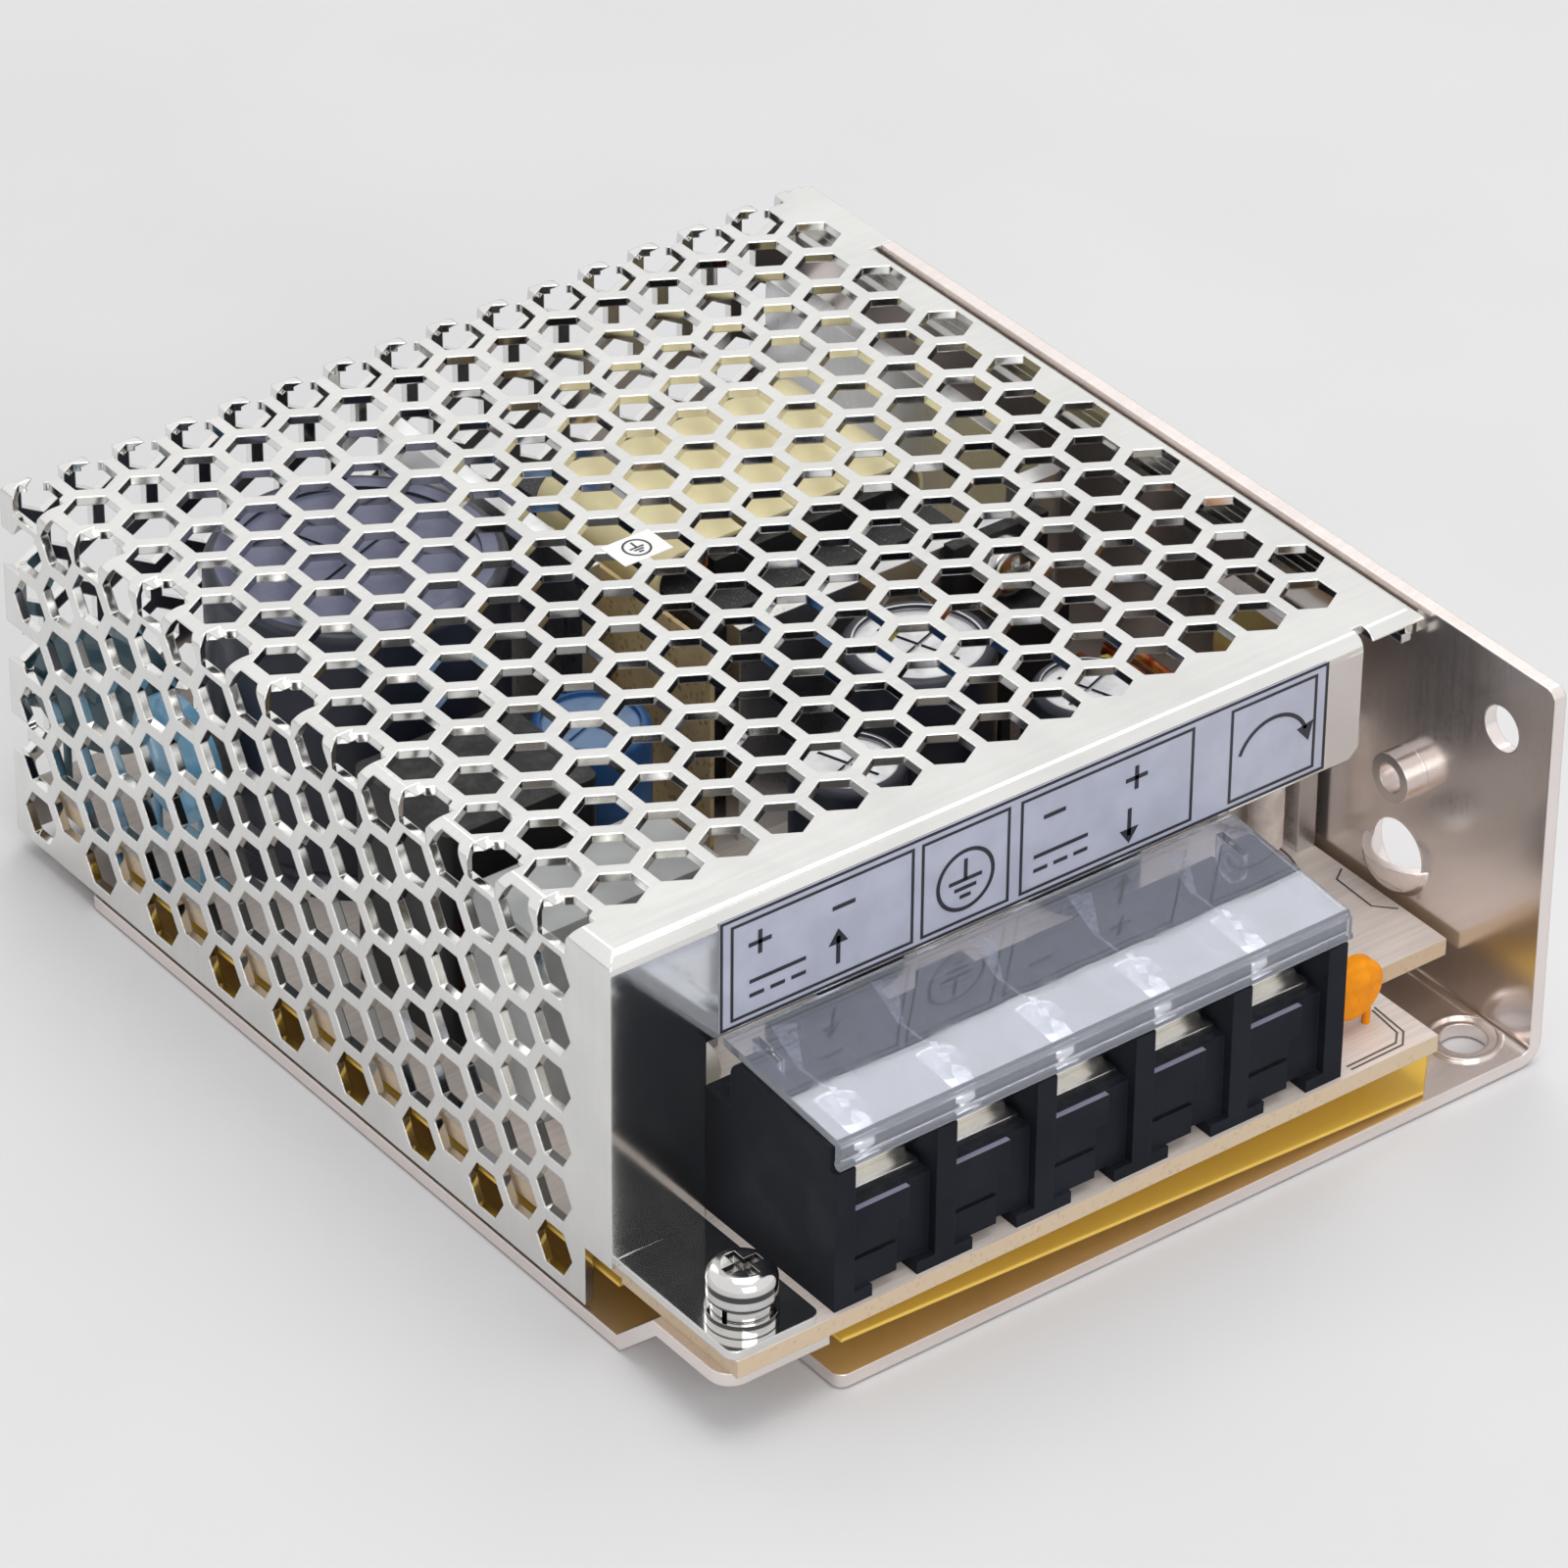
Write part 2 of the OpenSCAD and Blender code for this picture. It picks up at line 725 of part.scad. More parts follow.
// Cover folded from one perforated sheet: top, left side, back, a lip over the terminals,
// a flange with a foot under the earth screw, and a hooked edge inside the side wall
module case_cover() {
    foot_x0 = 0.5;
    foot_y0 = 0.3;
    foot_corner_r = 1;
    foot_top = board_top + cover_t;
    side_notch_l = 3.5;
    lip_x1 = case_w - lip_right;
    lip_corner = 1.2;
    relief_w = 1;
    hem_w = 0.9;
    color("gainsboro")
        in_case()
            union() {
                difference() {
                    folded_box([0, bay_l, cover_z0], [cover_x1, case_l, case_h], cover_fold_r);
                    folded_box([cover_t, bay_l + cover_t, cover_z0 - cut],
                               [cover_x1 - cover_t, case_l - cover_t, cover_in_z],
                               cover_fold_r - cover_t);
                    block([cover_x1 - 2 * cover_t, bay_l - cut, cover_z0 - cut],
                          [cover_x1 + cut, case_l - cover_t, case_h - hook_h]);
                    block([flange_w, bay_l - cut, cover_z0 - cut],
                          [lip_x1, bay_l + 2 * cover_t, case_h - lip_h]);
                    block([lip_x1, bay_l - cut, cover_z0 - cut],
                          [cover_x1 + cut, bay_l + 2 * cover_t, cover_in_z]);
                    block([lip_x1, bay_l - cut, cover_z0],
                          [lip_x1 + relief_w, bay_l + 2 * cover_t, case_h + cut]);
                    translate([lip_x1, bay_l - cut, case_h - lip_h])
                        rotate([0, 45, 0])
                            cube([lip_corner, 4 * cover_t, lip_corner], center = true);
                    block([-cut, bay_l - cut, cover_z0 - cut],
                          [flange_w + cut, bay_l + side_notch_l, board_top]);
                    honeycomb();
                }
                difference() {
                    block([foot_x0, foot_y0, board_top], [flange_w, bay_l + cover_t, foot_top]);
                    rod_z([earth_x, earth_y, board_top - cut], earth_d + earth_clear, cover_t + 2 * cut);
                    for (x = [foot_x0, flange_w])
                        translate([x, foot_y0, board_top])
                            mirror([x == foot_x0 ? 0 : 1, 0, 0])
                                edge_cutter(foot_corner_r, cover_t);
                }
                block([cover_x1 - cover_t - hem_w, bay_l + relief_w, case_h - hook_h],
                      [cover_x1 - cover_t + cut, case_l - 2 * cover_t, case_h - hook_h + cover_t]);
                block([cover_x1 - cover_fold_r - cut, case_l - ear_l, cover_in_z],
                      [case_w, case_l - cover_fold_r, case_h]);
            }
}

// Insulation sheet that lies loosely between base and board, high on the left and low on the right
module insulation_sheet() {
    side_gap = 0.4;
    left = board_x0 + side_gap;
    tab_gap = 0.6;
    right = case_w - base_hole_x - base_ring_d / 2 - tab_gap;
    front = 0.6;
    back_set = 11.5;
    back = board_y1 - back_set;
    corner = 4;
    hole_clear = 1.6;
    rest = 0.05;
    low_gap = 1.2;
    drop = board_gap - low_gap;
    tilt = atan(drop / (right - left));
    run = norm([right - left, drop]);
    color("khaki", 0.7)
        in_case()
            difference() {
                translate([left, 0, base_top + drop + rest])
                    rotate([0, tilt, 0])
                        linear_extrude(film_t)
                            polygon([
                                [0, tab_l + chassis_t + tab_gap],
                                [tab_w + tab_slit + tab_gap - left, tab_l + chassis_t + tab_gap],
                                [tab_w + tab_slit + tab_gap - left, front],
                                [run - corner, front], [run, front + corner],
                                [run, back], [0, back]
                            ]);
                for (p = standoffs)
                    rod_z([p[0], p[1], -cut], standoff_d + hole_clear, board_z);
            }
}

// Circuit board with its front-right notch
module circuit_board() {
    side_step = 0.3;
    color("wheat")
        in_case()
            difference() {
                block([board_x0, board_y0, board_z], [board_x1, board_y1, board_top]);
                block([notch_x, board_y0 - cut, board_z - cut],
                      [board_x1 + cut, notch_y, board_top + cut]);
                block([-cut, bay_l - cut, board_z - cut],
                      [board_x0 + side_step, case_l, board_top + cut]);
                rod_z([earth_x, earth_y, board_z - cut], earth_d + earth_clear, board_t + 2 * cut);
                for (p = standoffs)
                    rod_z([p[0], p[1], board_z - cut], board_screw_d + earth_clear, board_t + 2 * cut);
            }
}

// Screws that hold the board to the standoffs
module board_screws() {
    tip = 1;
    color("lightgray")
        in_case()
            for (p = standoffs)
                translate([p[0], p[1], board_top])
                    pan_screw(board_screw_head_d, board_screw_head_h, board_screw_d,
                              board_t + chassis_t + tip);
}

// Earth screw that ties the cover's foot, the board and the raised tab together
module ground_screw() {
    tip = 0.8;
    color("silver")
        in_case()
            translate([earth_x, earth_y, board_top + cover_t + 2 * washer_t])
                pan_screw(earth_head_d, earth_head_h, earth_d,
                          2 * washer_t + cover_t + board_t + chassis_t + tip);
}

// Plain washer and split spring washer under the earth screw
module ground_washers() {
    split = 0.5;
    split_turn = 200;
    groove = 0.35;
    spring_d = earth_head_d - 2 * groove;
    color("darkgray")
        in_case()
            translate([earth_x, earth_y, board_top + cover_t]) {
                difference() {
                    cylinder(d = washer_d, h = washer_t);
                    translate([0, 0, -cut])
                        cylinder(d = earth_d + earth_clear, h = washer_t + 2 * cut);
                }
                translate([0, 0, washer_t])
                    difference() {
                        cylinder(d = spring_d, h = washer_t);
                        translate([0, 0, -cut])
                            cylinder(d = earth_d + earth_clear, h = washer_t + 2 * cut);
                        rotate(split_turn)
                            translate([0, -split / 2, -cut])
                                cube([washer_d, split, washer_t + 2 * cut]);
                    }
            }
}

// Moulded terminal block: barriers, seats, panelled front and ears for the clear cover's pins
module terminal_block() {
    foot_half = 2.7;
    panel_w = 5.5;
    panel_low_w = 4.3;
    panel_step_h = 5.8;
    panel_step_z = board_top + panel_step_h;
    panel_set = 0.9;
    panel_front = 0.3;
    panel_y = block_y0 + panel_front;
    groove_rise = 3.8;
    groove_z = board_top + groove_rise;
    groove_h = 0.5;
    groove_d = 0.4;
    barrier_y = block_y0 + barrier_front_set;
    barrier_gap = 0.35;
    well_gap = 0.8;
    body_z0 = board_top + block_skirt;
    body_y0 = block_y0 + panel_set;
    rear_y0 = block_y1 - rear_wall_t;
    well_floor = 2.2;
    well_z = board_top + well_floor;
    color([0.09, 0.09, 0.1])
        in_case()
            difference() {
                union() {
                    block([block_x0, body_y0, body_z0], [block_x1, block_y1, seat_z]);
                    block([block_x0, rear_y0, body_z0], [block_x1, block_y1, rear_wall_z]);
                    for (i = [0 : pole_count]) {
                        x = block_x0 + i * pole_pitch;
                        back_y = i == 0 || i == pole_count ? hinge_y : hinge_y - ear_r;
                        translate([x, 0, 0])
                            rotate([90, 0, 90])
                                linear_extrude(barrier_t)
                                    polygon([
                                        [block_y0, board_top], [block_y0, barrier_front_z],
                                        [barrier_y, barrier_front_z],
                                        [barrier_y, clear_under(barrier_y) - barrier_gap],
                                        [back_y, clear_under(back_y) - barrier_gap],
                                        [back_y, rear_wall_z], [block_y1, rear_wall_z],
                                        [block_y1, board_top]
                                    ]);
                        block([max(x + barrier_t / 2 - foot_half, block_x0), block_y0, board_top],
                              [min(x + barrier_t / 2 + foot_half, block_x1), block_y1, body_z0]);
                    }
                    for (x = [block_x0, block_x1 - barrier_t]) {
                        rod_x([x, hinge_y, hinge_z], 2 * ear_r, barrier_t);
                        block([x, hinge_y - ear_r, rear_wall_z - cut],
                              [x + barrier_t, hinge_y + ear_r, hinge_z]);
                    }
                    for (i = [0 : pole_count - 1]) {
                        panel_x = pole_x(i) - pole_gap / 2;
                        block([panel_x - cut, panel_y, panel_step_z],
                              [panel_x + panel_w, body_y0 + cut, seat_z]);
                        block([panel_x - cut, panel_y, body_z0],
                              [panel_x + panel_low_w, body_y0 + cut, panel_step_z + cut]);
                    }
                }
                for (i = [0 : pole_count - 1]) {
                    panel_x = pole_x(i) - pole_gap / 2;
                    rod_z([pole_x(i), screw_y, well_z], screw_d + well_gap, seat_z - well_z + cut);
                    block([panel_x, block_y0, groove_z],
                          [panel_x + panel_low_w + cut, panel_y + groove_d, groove_z + groove_h]);
                }
                for (x = [block_x0 + pin_skin, block_x1 - barrier_t - cut])
                    rod_x([x, hinge_y, hinge_z], pin_d + 2 * hinge_clear, barrier_t - pin_skin + cut);
            }
}

// Plated strips that the wires are clamped to
module terminal_plates() {
    side = 0.4;
    front_set = 1.8;
    back_gap = 0.2;
    front = block_y0 + front_set;
    back = block_y1 - rear_wall_t - back_gap;
    color("lightgray")
        in_case()
            for (i = [0 : pole_count - 1])
                difference() {
                    block([pole_x(i) - pole_gap / 2 + side, front, seat_z],
                          [pole_x(i) + pole_gap / 2 - side, back, plate_top]);
                    rod_z([pole_x(i), screw_y, seat_z - cut], screw_d + screw_clear, plate_t + 2 * cut);
                }
}

// Clamp square with a turned-up front edge, carried by a terminal screw
module clamp(i) {
    side = 0.45;
    half = pole_gap / 2 - side;
    rise = 0.7;
    bend = 0.4;
    front = -screw_head_d / 2 - screw_clear - bend;
    back = 3.7;
    color("silver")
        in_case()
            translate([pole_x(i), screw_y, plate_top])
                difference() {
                    translate([-half, 0, 0])
                        rotate([90, 0, 90])
                            linear_extrude(2 * half)
                                polygon([
                                    [front, rise], [front + bend, 0], [back, 0], [back, clamp_t],
                                    [front + bend, clamp_t], [front, rise + clamp_t]
                                ]);
                    rod_z([0, 0, -cut], screw_d + 2 * screw_clear, clamp_t + 2 * cut);
                }
}

// Screw of one terminal
module terminal_screw(i) {
    color("whitesmoke")
        in_case()
            translate([pole_x(i), screw_y, clamp_top])
                pan_screw(screw_head_d, screw_head_h, screw_d, screw_len);
}

// Clear hinged cover: sloping top, beaded front lip, and lugs whose pins turn in the block's end barriers
module terminal_cover() {
    side_gap = 0.1;
    bead_proud = 0.2;
    bend = 0.5;
    pin_gap = 0.2;
    pin_l = barrier_t - pin_skin - pin_gap;
    left = block_x0 + side_gap;
    right = block_x1 - side_gap;
    front = clear_y0 + bead_proud;
    bead_z = clear_lip_z + clear_bead_d / 2;
    lug_left = block_x0 + barrier_t + lug_gap;
    lug_right = block_x1 - barrier_t - lug_gap;
    color([0.8, 0.85, 0.95, 0.4])
        in_case()
            union() {
                translate([left, 0, 0])
                    rotate([90, 0, 90])
                        linear_extrude(right - left)
                            polygon([
                                [front, bead_z], [front, clear_under(front) + clear_t - bend],
                                [front + bend, clear_under(front + bend) + clear_t],
                                [clear_y1, clear_top_rear], [clear_y1, clear_top_rear - clear_t],
                                [front + clear_t, clear_under(front + clear_t)], [front + clear_t, bead_z]
                            ]);
                rod_x([left, clear_y0 + clear_bead_d / 2, bead_z], clear_bead_d, right - left);
                for (x = [lug_left, lug_right - lug_t]) {
                    block([x, hinge_y - ear_r, hinge_z],
                          [x + lug_t, hinge_y + ear_r, clear_under(hinge_y - ear_r) + clear_t / 2]);
                    rod_x([x, hinge_y, hinge_z], 2 * ear_r, lug_t);
                }
                rod_x([lug_left - lug_gap - pin_l, hinge_y, hinge_z], pin_d, pin_l + lug_gap + cut);
                rod_x([lug_right - cut, hinge_y, hinge_z], pin_d, pin_l + lug_gap + cut);
            }
}

// Square trimmer body with a round seat for its rotor
module trimmer_body() {
    seat = 0.2;
    corner_r = 0.5;
    color([0.12, 0.12, 0.13])
        in_case()
            translate([trimmer_x, trimmer_y, board_top])
                difference() {
                    soft_box([-trimmer_w / 2, -trimmer_w / 2, 0],
                             [trimmer_w / 2, trimmer_w / 2, trimmer_h], corner_r);
                    translate([0, 0, rotor_base_h])
                        cylinder(d = rotor_d + 2 * seat, h = rotor_h);
                }
}

// Turning rotor of the trimmer, slotted across
module trimmer_rotor() {
    slot_w = 0.8;
    slot_h = 0.7;
    slot_l = rotor_d * 0.8;
    color("ivory")
        in_case()
            translate([trimmer_x, trimmer_y, board_top + rotor_base_h])
                difference() {
                    cylinder(d = rotor_d, h = rotor_h);
                    for (turn = [0, 90])
                        rotate(turn)
                            translate([-slot_l / 2, -slot_w / 2, rotor_h - slot_h])
                                cube([slot_l, slot_w, slot_h + cut]);
                }
}

// Aluminium plate that stands on the board along the side wall
module side_plate() {
    color("silver")
        in_case()
            block([side_plate_x0, side_plate_y1 - side_plate_l, board_top],
                  [board_x1, side_plate_y1, board_top + side_plate_h]);
}

// Small disc capacitor beside the terminal block
module disc_capacitor() {
    color("chocolate")
        in_case()
            translate([disc_x, disc_y, board_top])
                rotate(90)
                    disc_part(disc_d, disc_t, disc_lift);
}

// Mains bulk capacitor
module bulk_capacitor() {
    color([0.25, 0.29, 0.36])
        in_case()
            translate([bulk_x, bulk_y, board_top])
                can_capacitor(bulk_d, bulk_h);
}

// Plate that cools the switching transistor
module primary_heatsink() {
    color("gainsboro")
        in_case()
            difference() {
                block([primary_sink_x, primary_sink_y0, board_top],
                      [primary_sink_x + sink_t, primary_sink_y0 + primary_sink_l, board_top + sink_h]);
                rod_x([primary_sink_x - cut, transistor_y, package_screw_z], sink_hole_d, sink_t + 2 * cut);
            }
}

// Switching transistor on the plate's right face
module switch_transistor() {
    color([0.1, 0.1, 0.1])
        in_case()
            translate([primary_sink_x + sink_t, transistor_y, board_top])
                rotate(90)
                    power_package();
}

// Bent plate that cools the output rectifier, running beside the transformer to the back
module output_heatsink() {
    post_w = 3 * sink_t;
    color("gainsboro")
        in_case()
            difference() {
                block([output_sink_x0, output_sink_y1 - sink_t, board_top],
                      [output_sink_x1, output_arm_y1, board_top + sink_h]);
                block([output_sink_x0 - cut, output_sink_y1, board_top - cut],
                      [output_sink_x1 - sink_t, output_arm_y1 + cut, board_top + sink_h + cut]);
                translate([output_sink_x1, output_sink_y1 - sink_t, board_top])
                    rotate(90)
                        edge_cutter(sink_t, sink_h);
                block([output_sink_x0 - cut, output_sink_y1 - sink_t - cut,
                       board_top + sink_h - output_sink_drop],
                      [output_sink_x1 - post_w, output_sink_y1 + cut, board_top + sink_h + cut]);
                rod_y([rectifier_x, output_sink_y1 - sink_t - cut, package_screw_z],
                      sink_hole_d, sink_t + 2 * cut);
            }
}

// Output rectifier on the front of its plate
module output_rectifier() {
    color([0.1, 0.1, 0.1])
        in_case()
            translate([rectifier_x, output_sink_y1 - sink_t, board_top])
                power_package();
}

// Screws that press the two packages to their plates
module heatsink_screws() {
    reach = package_tab_t + sink_t;
    head_d = 5.4;
    head_h = 2;
    shank_d = 2.9;
    color("silver")
        in_case() {
            translate([rectifier_x, output_sink_y1 - sink_t - package_tab_t, package_screw_z])
                rotate([90, 0, 0])
                    pan_screw(head_d, head_h, shank_d, reach);
            translate([primary_sink_x + sink_t + package_tab_t, transistor_y, package_screw_z])
                rotate([0, 90, 0])
                    pan_screw(head_d, head_h, shank_d, reach);
        }
}

// Ferrite core: two yokes, two outer limbs and a centre limb
module transformer_core() {
    color([0.16, 0.16, 0.17])
        in_case()
            difference() {
                block([core_x0, trafo_y0, trafo_core_z], [core_x1, trafo_y1, trafo_core_z + core_h]);
                for (side = [[core_x0 + limb, core_middle - core_centre / 2],
                             [core_middle + core_centre / 2, core_x1 - limb]])
                    block([side[0], trafo_y0 + yoke, trafo_core_z - cut],
                          [side[1], trafo_y1 - yoke, trafo_core_z + core_h + cut]);
            }
}

// Winding round the centre limb, standing above and below the core
module transformer_winding() {
    y0 = trafo_y0 + yoke + flange_t + 2 * window_gap;
    y1 = trafo_y1 - yoke - flange_t - 2 * window_gap;
    z0 = trafo_core_z - winding_drop;
    round_r = 2;
    color("sandybrown")
        in_case()
            difference() {
                translate([0, y1, 0])
                    rotate([90, 0, 0])
                        soft_box([core_middle - winding_half, z0, 0],
                                 [core_middle + winding_half, winding_z1, y1 - y0], round_r);
                block([core_middle - core_centre / 2 - window_gap, y0 - cut, trafo_core_z - window_gap],
                      [core_middle + core_centre / 2 + window_gap, y1 + cut,
                       trafo_core_z + core_h + window_gap]);
            }
}

// Bobbin flanges at both ends of the winding, with pin rails down to the board
module transformer_bobbin() {
    color([0.13, 0.13, 0.14])
        in_case()
            for (y = [trafo_y0 + yoke + window_gap, trafo_y1 - yoke - window_gap - flange_t])
                difference() {
                    block([core_middle - winding_half, y, board_top],
                          [core_middle + winding_half, y + flange_t, winding_z1]);
                    block([core_middle - core_centre / 2 - window_gap, y - cut, trafo_core_z - window_gap],
                          [core_middle + core_centre / 2 + window_gap, y + flange_t + cut,
                           trafo_core_z + core_h + window_gap]);
                }
}

// Yellow tape wrapped round the limbs and the winding
module transformer_tape() {
    end_gap = yoke + 2 * window_gap + flange_t;
    under = 0.2;
    side = 0.4;
    y0 = trafo_y0 + end_gap;
    y1 = trafo_y1 - end_gap;
    z0 = board_top + under;
    z1 = board_top + trafo_h;
    x0 = trafo_x0 + side;
    x1 = trafo_x0 + trafo_w - side;
    round_r = 2.6;
    color("gold")
        in_case()
            translate([0, y1, 0])
                rotate([90, 0, 0])
                    difference() {
                        soft_box([x0, z0, 0], [x1, z1, y1 - y0], round_r);
                        soft_box([x0 + trafo_tape_t, z0 + trafo_tape_t, -cut],
                                 [x1 - trafo_tape_t, z1 - trafo_tape_t, y1 - y0 + cut],
                                 round_r - trafo_tape_t);
                    }
}

// Tan paper barrier between the mains side and the output side
module barrier_paper() {
    paper_t = 0.4;
    paper_h = 21;
    side_set = 1.2;
    front_over = 1;
    back_short = 9;
    x0 = trafo_x0 - side_set;
    y0 = output_sink_y1 - sink_t - front_over;
    y1 = trafo_y1 - back_short;
    color("tan")
        in_case()
            block([x0, y0, board_top], [x0 + paper_t, y1, board_top + paper_h]);
}

// Line filter choke: moulded case with a window for its winding
module filter_choke_case() {
    corner_r = 1;
    color([0.1, 0.1, 0.11])
        in_case()
            difference() {
                soft_box([choke_x0, choke_y0, board_top],
                         [choke_x0 + choke_w, choke_y1, board_top + choke_h], corner_r);
                block([choke_x0 + choke_wall, choke_y0 - cut, board_top + choke_base],
                      [choke_x0 + choke_w - choke_wall, choke_y1 - choke_wall,
                       board_top + choke_base + choke_window_h]);
            }
}

// Copper winding in the filter choke's window
module filter_choke_winding() {
    turn_d = 1.1;
    valley_d = turn_d * 0.6;
    valley_out = 0.1;
    wall_gap = 0.2;
    r = choke_l / 2 - choke_wall - wall_gap;
    turns = floor(choke_window_h / turn_d) - 1;
    color("peru")
        in_case()
            translate([choke_x0 + choke_w / 2, choke_y0 + choke_l / 2, board_top + choke_base])
                difference() {
                    cylinder(r = r, h = choke_window_h);
                    for (i = [1 : turns])
                        translate([0, 0, i * turn_d])
                            rotate_extrude()
                                translate([r + valley_out, 0])
                                    circle(d = valley_d, $fn = 8);
                }
}

// Output choke: ring core standing on edge
module toroid_core() {
    color([0.75, 0.7, 0.2])
        in_case()
            translate([toroid_x, toroid_y, toroid_z])
                rotate([90, 0, 0])
                    difference() {
                        cylinder(d = toroid_d, h = toroid_t, center = true);
                        cylinder(d = toroid_bore, h = toroid_t + 2 * cut, center = true);
                    }
}

// Wire turns round the ring core
module toroid_winding() {
    turns = 14;
    wire = 0.7;
    gap = 0.05;
    depth = (toroid_d - toroid_bore) / 2;
    color("peru")
        in_case()
            translate([toroid_x, toroid_y, toroid_z])
                rotate([90, 0, 0])
                    for (i = [0 : turns - 1])
                        rotate(i * 360 / turns)
                            translate([(toroid_d + toroid_bore) / 4, 0, 0])
                                difference() {
                                    cube([depth + 2 * (wire + gap), wire, toroid_t + 2 * (wire + gap)],
                                         center = true);
                                    cube([depth + 2 * gap, wire + cut, toroid_t + 2 * gap], center = true);
                                }
}

// Moulded box capacitor across the line
module box_capacitor() {
    corner_r = 0.8;
    color("lightgray")
        in_case()
            soft_box([box_cap_x0, box_cap_y0, board_top],
                     [box_cap_x0 + box_cap_w, box_cap_y1, board_top + box_cap_h], corner_r);
}

// Blue can capacitor between the choke and the transformer
module blue_capacitor() {
    color("steelblue")
        in_case()
            translate([blue_cap_x, blue_cap_y, board_top])
                can_capacitor(blue_cap_d, blue_cap_h);
}

// Output capacitors: a large one and two small ones
module output_capacitor_1() {
    color([0.2, 0.22, 0.3])
        in_case()
            translate([out_cap_x, out_cap_y, board_top])
                can_capacitor(out_cap_d, out_cap_h);
}

module output_capacitor_2() {
    color([0.2, 0.22, 0.3])
        in_case()
            translate([left_cap_x, left_cap_y, board_top])
                can_capacitor(small_cap_d, out_cap_h);
}

module output_capacitor_3() {
    color([0.2, 0.22, 0.3])
        in_case()
            translate([front_cap_x, front_cap_y, board_top])
                can_capacitor(small_cap_d, out_cap_h);
}

// Light blue disc beside the bulk capacitor
module safety_capacitor() {
    lift = 5;
    color("lightskyblue")
        in_case()
            translate([safety_x, safety_y, board_top])
                disc_part(safety_d, safety_t, lift);
}

// Surge varistor behind it
module surge_varistor() {
    lift = 4;
    turn = 35;
    color("teal")
        in_case()
            translate([varistor_x, varistor_y, board_top])
                rotate(turn)
                    disc_part(varistor_d, varistor_t, lift);
}

// Flat bridge rectifier that stands behind the bulk capacitor
module bridge_rectifier() {
    w = 12.5;
    t = 3.6;
    h = 11;
    lift = 3.5;
    side_gap = 0.8;
    back_gap = 1.6;
    lead_count = 4;
    lead_w = 1;
    lead_inset = 1.5;
    lead_pitch = (w - 2 * lead_inset - lead_w) / (lead_count - 1);
    x0 = primary_sink_x - side_gap - w;
    y0 = board_y1 - back_gap - t;
    color([0.12, 0.12, 0.13])
        in_case()
            union() {
                block([x0, y0, board_top + lift], [x0 + w, y0 + t, board_top + lift + h]);
                for (i = [0 : lead_count - 1])
                    translate([x0 + lead_inset + i * lead_pitch, y0 + (t - lead_w) / 2, board_top])
                        cube([lead_w, lead_w, lift + cut]);
            }
}

// Line fuse on two posts in front of the box capacitor
module line_fuse() {
    d = 3.6;
    tube_d = 3.2;
    l = 12;
    cap_l = 2.6;
    post_d = 1;
    lift = 0.4;
    gap = 3.4;
    inset = 2;
    y = box_cap_y0 - gap;
    color("ivory")
        in_case()
            translate([box_cap_x0 + inset, y, board_top]) {
                translate([0, 0, lift + d / 2])
                    rotate([0, 90, 0])
                        rotate_extrude()
                            polygon([
                                [0, 0], [d / 2, 0], [d / 2, cap_l], [tube_d / 2, cap_l],
                                [tube_d / 2, l - cap_l], [d / 2, l - cap_l], [d / 2, l], [0, l]
                            ]);
                for (x = [cap_l / 2, l - cap_l / 2])
                    rod_z([x, 0, 0], post_d, lift + d / 2, 24);
            }
}

// Small dual-in-line chip with bent legs, standing on z = 0
module chip(pins, w, l) {
    pitch = 2.54;
    body_z = 0.6;
    body_h = 3.2;
    corner_r = 0.3;
    leg = 0.5;
    leg_rise = 1.4;
    soft_box([-l / 2, -w / 2, body_z], [l / 2, w / 2, body_z + body_h], corner_r);
    for (i = [0 : pins / 2 - 1], side = [-1, 1]) {
        x = (i - (pins / 2 - 1) / 2) * pitch;
        y = side * (w + leg) / 2;
        block([x - leg / 2, y - leg, 0], [x + leg / 2, y + leg, body_z + leg_rise]);
    }
}

// Control chip in front of the transformer
module controller_chip() {
    gap = 6;
    share = 0.6;
    chip_l = 9.6;
    color([0.12, 0.12, 0.13])
        in_case()
            translate([box_cap_x0 + box_cap_w + gap, lip_in_y + share * (box_cap_y0 - lip_in_y), board_top])
                chip(8, chip_w, chip_l);
}

// Optical coupler across the barrier
module opto_coupler() {
    gap = 1;
    share = 0.55;
    room = left_cap_y - small_cap_d / 2 - lip_in_y;
    chip_l = 4.8;
    color([0.12, 0.12, 0.13])
        in_case()
            translate([output_sink_x0 - gap, lip_in_y + share * room, board_top])
                chip(4, chip_w, chip_l);
}

// Standing resistors beside the output
module power_resistors() {
    count = 3;
    d = 3;
    h = 9;
    gap = 1.2;
    lift = 1;
    lead_d = 0.7;
    y1 = side_plate_y1 - d / 2;
    color("peachpuff")
        in_case()
            for (i = [0 : count - 1])
                translate([side_plate_x0 - gap / 2 - d / 2, y1 - i * (d + gap), board_top]) {
                    translate([0, 0, lift])
                        cylinder(d = d, h = h - lift);
                    cylinder(d = lead_d, h = lift + cut, $fn = 16);
                }
}

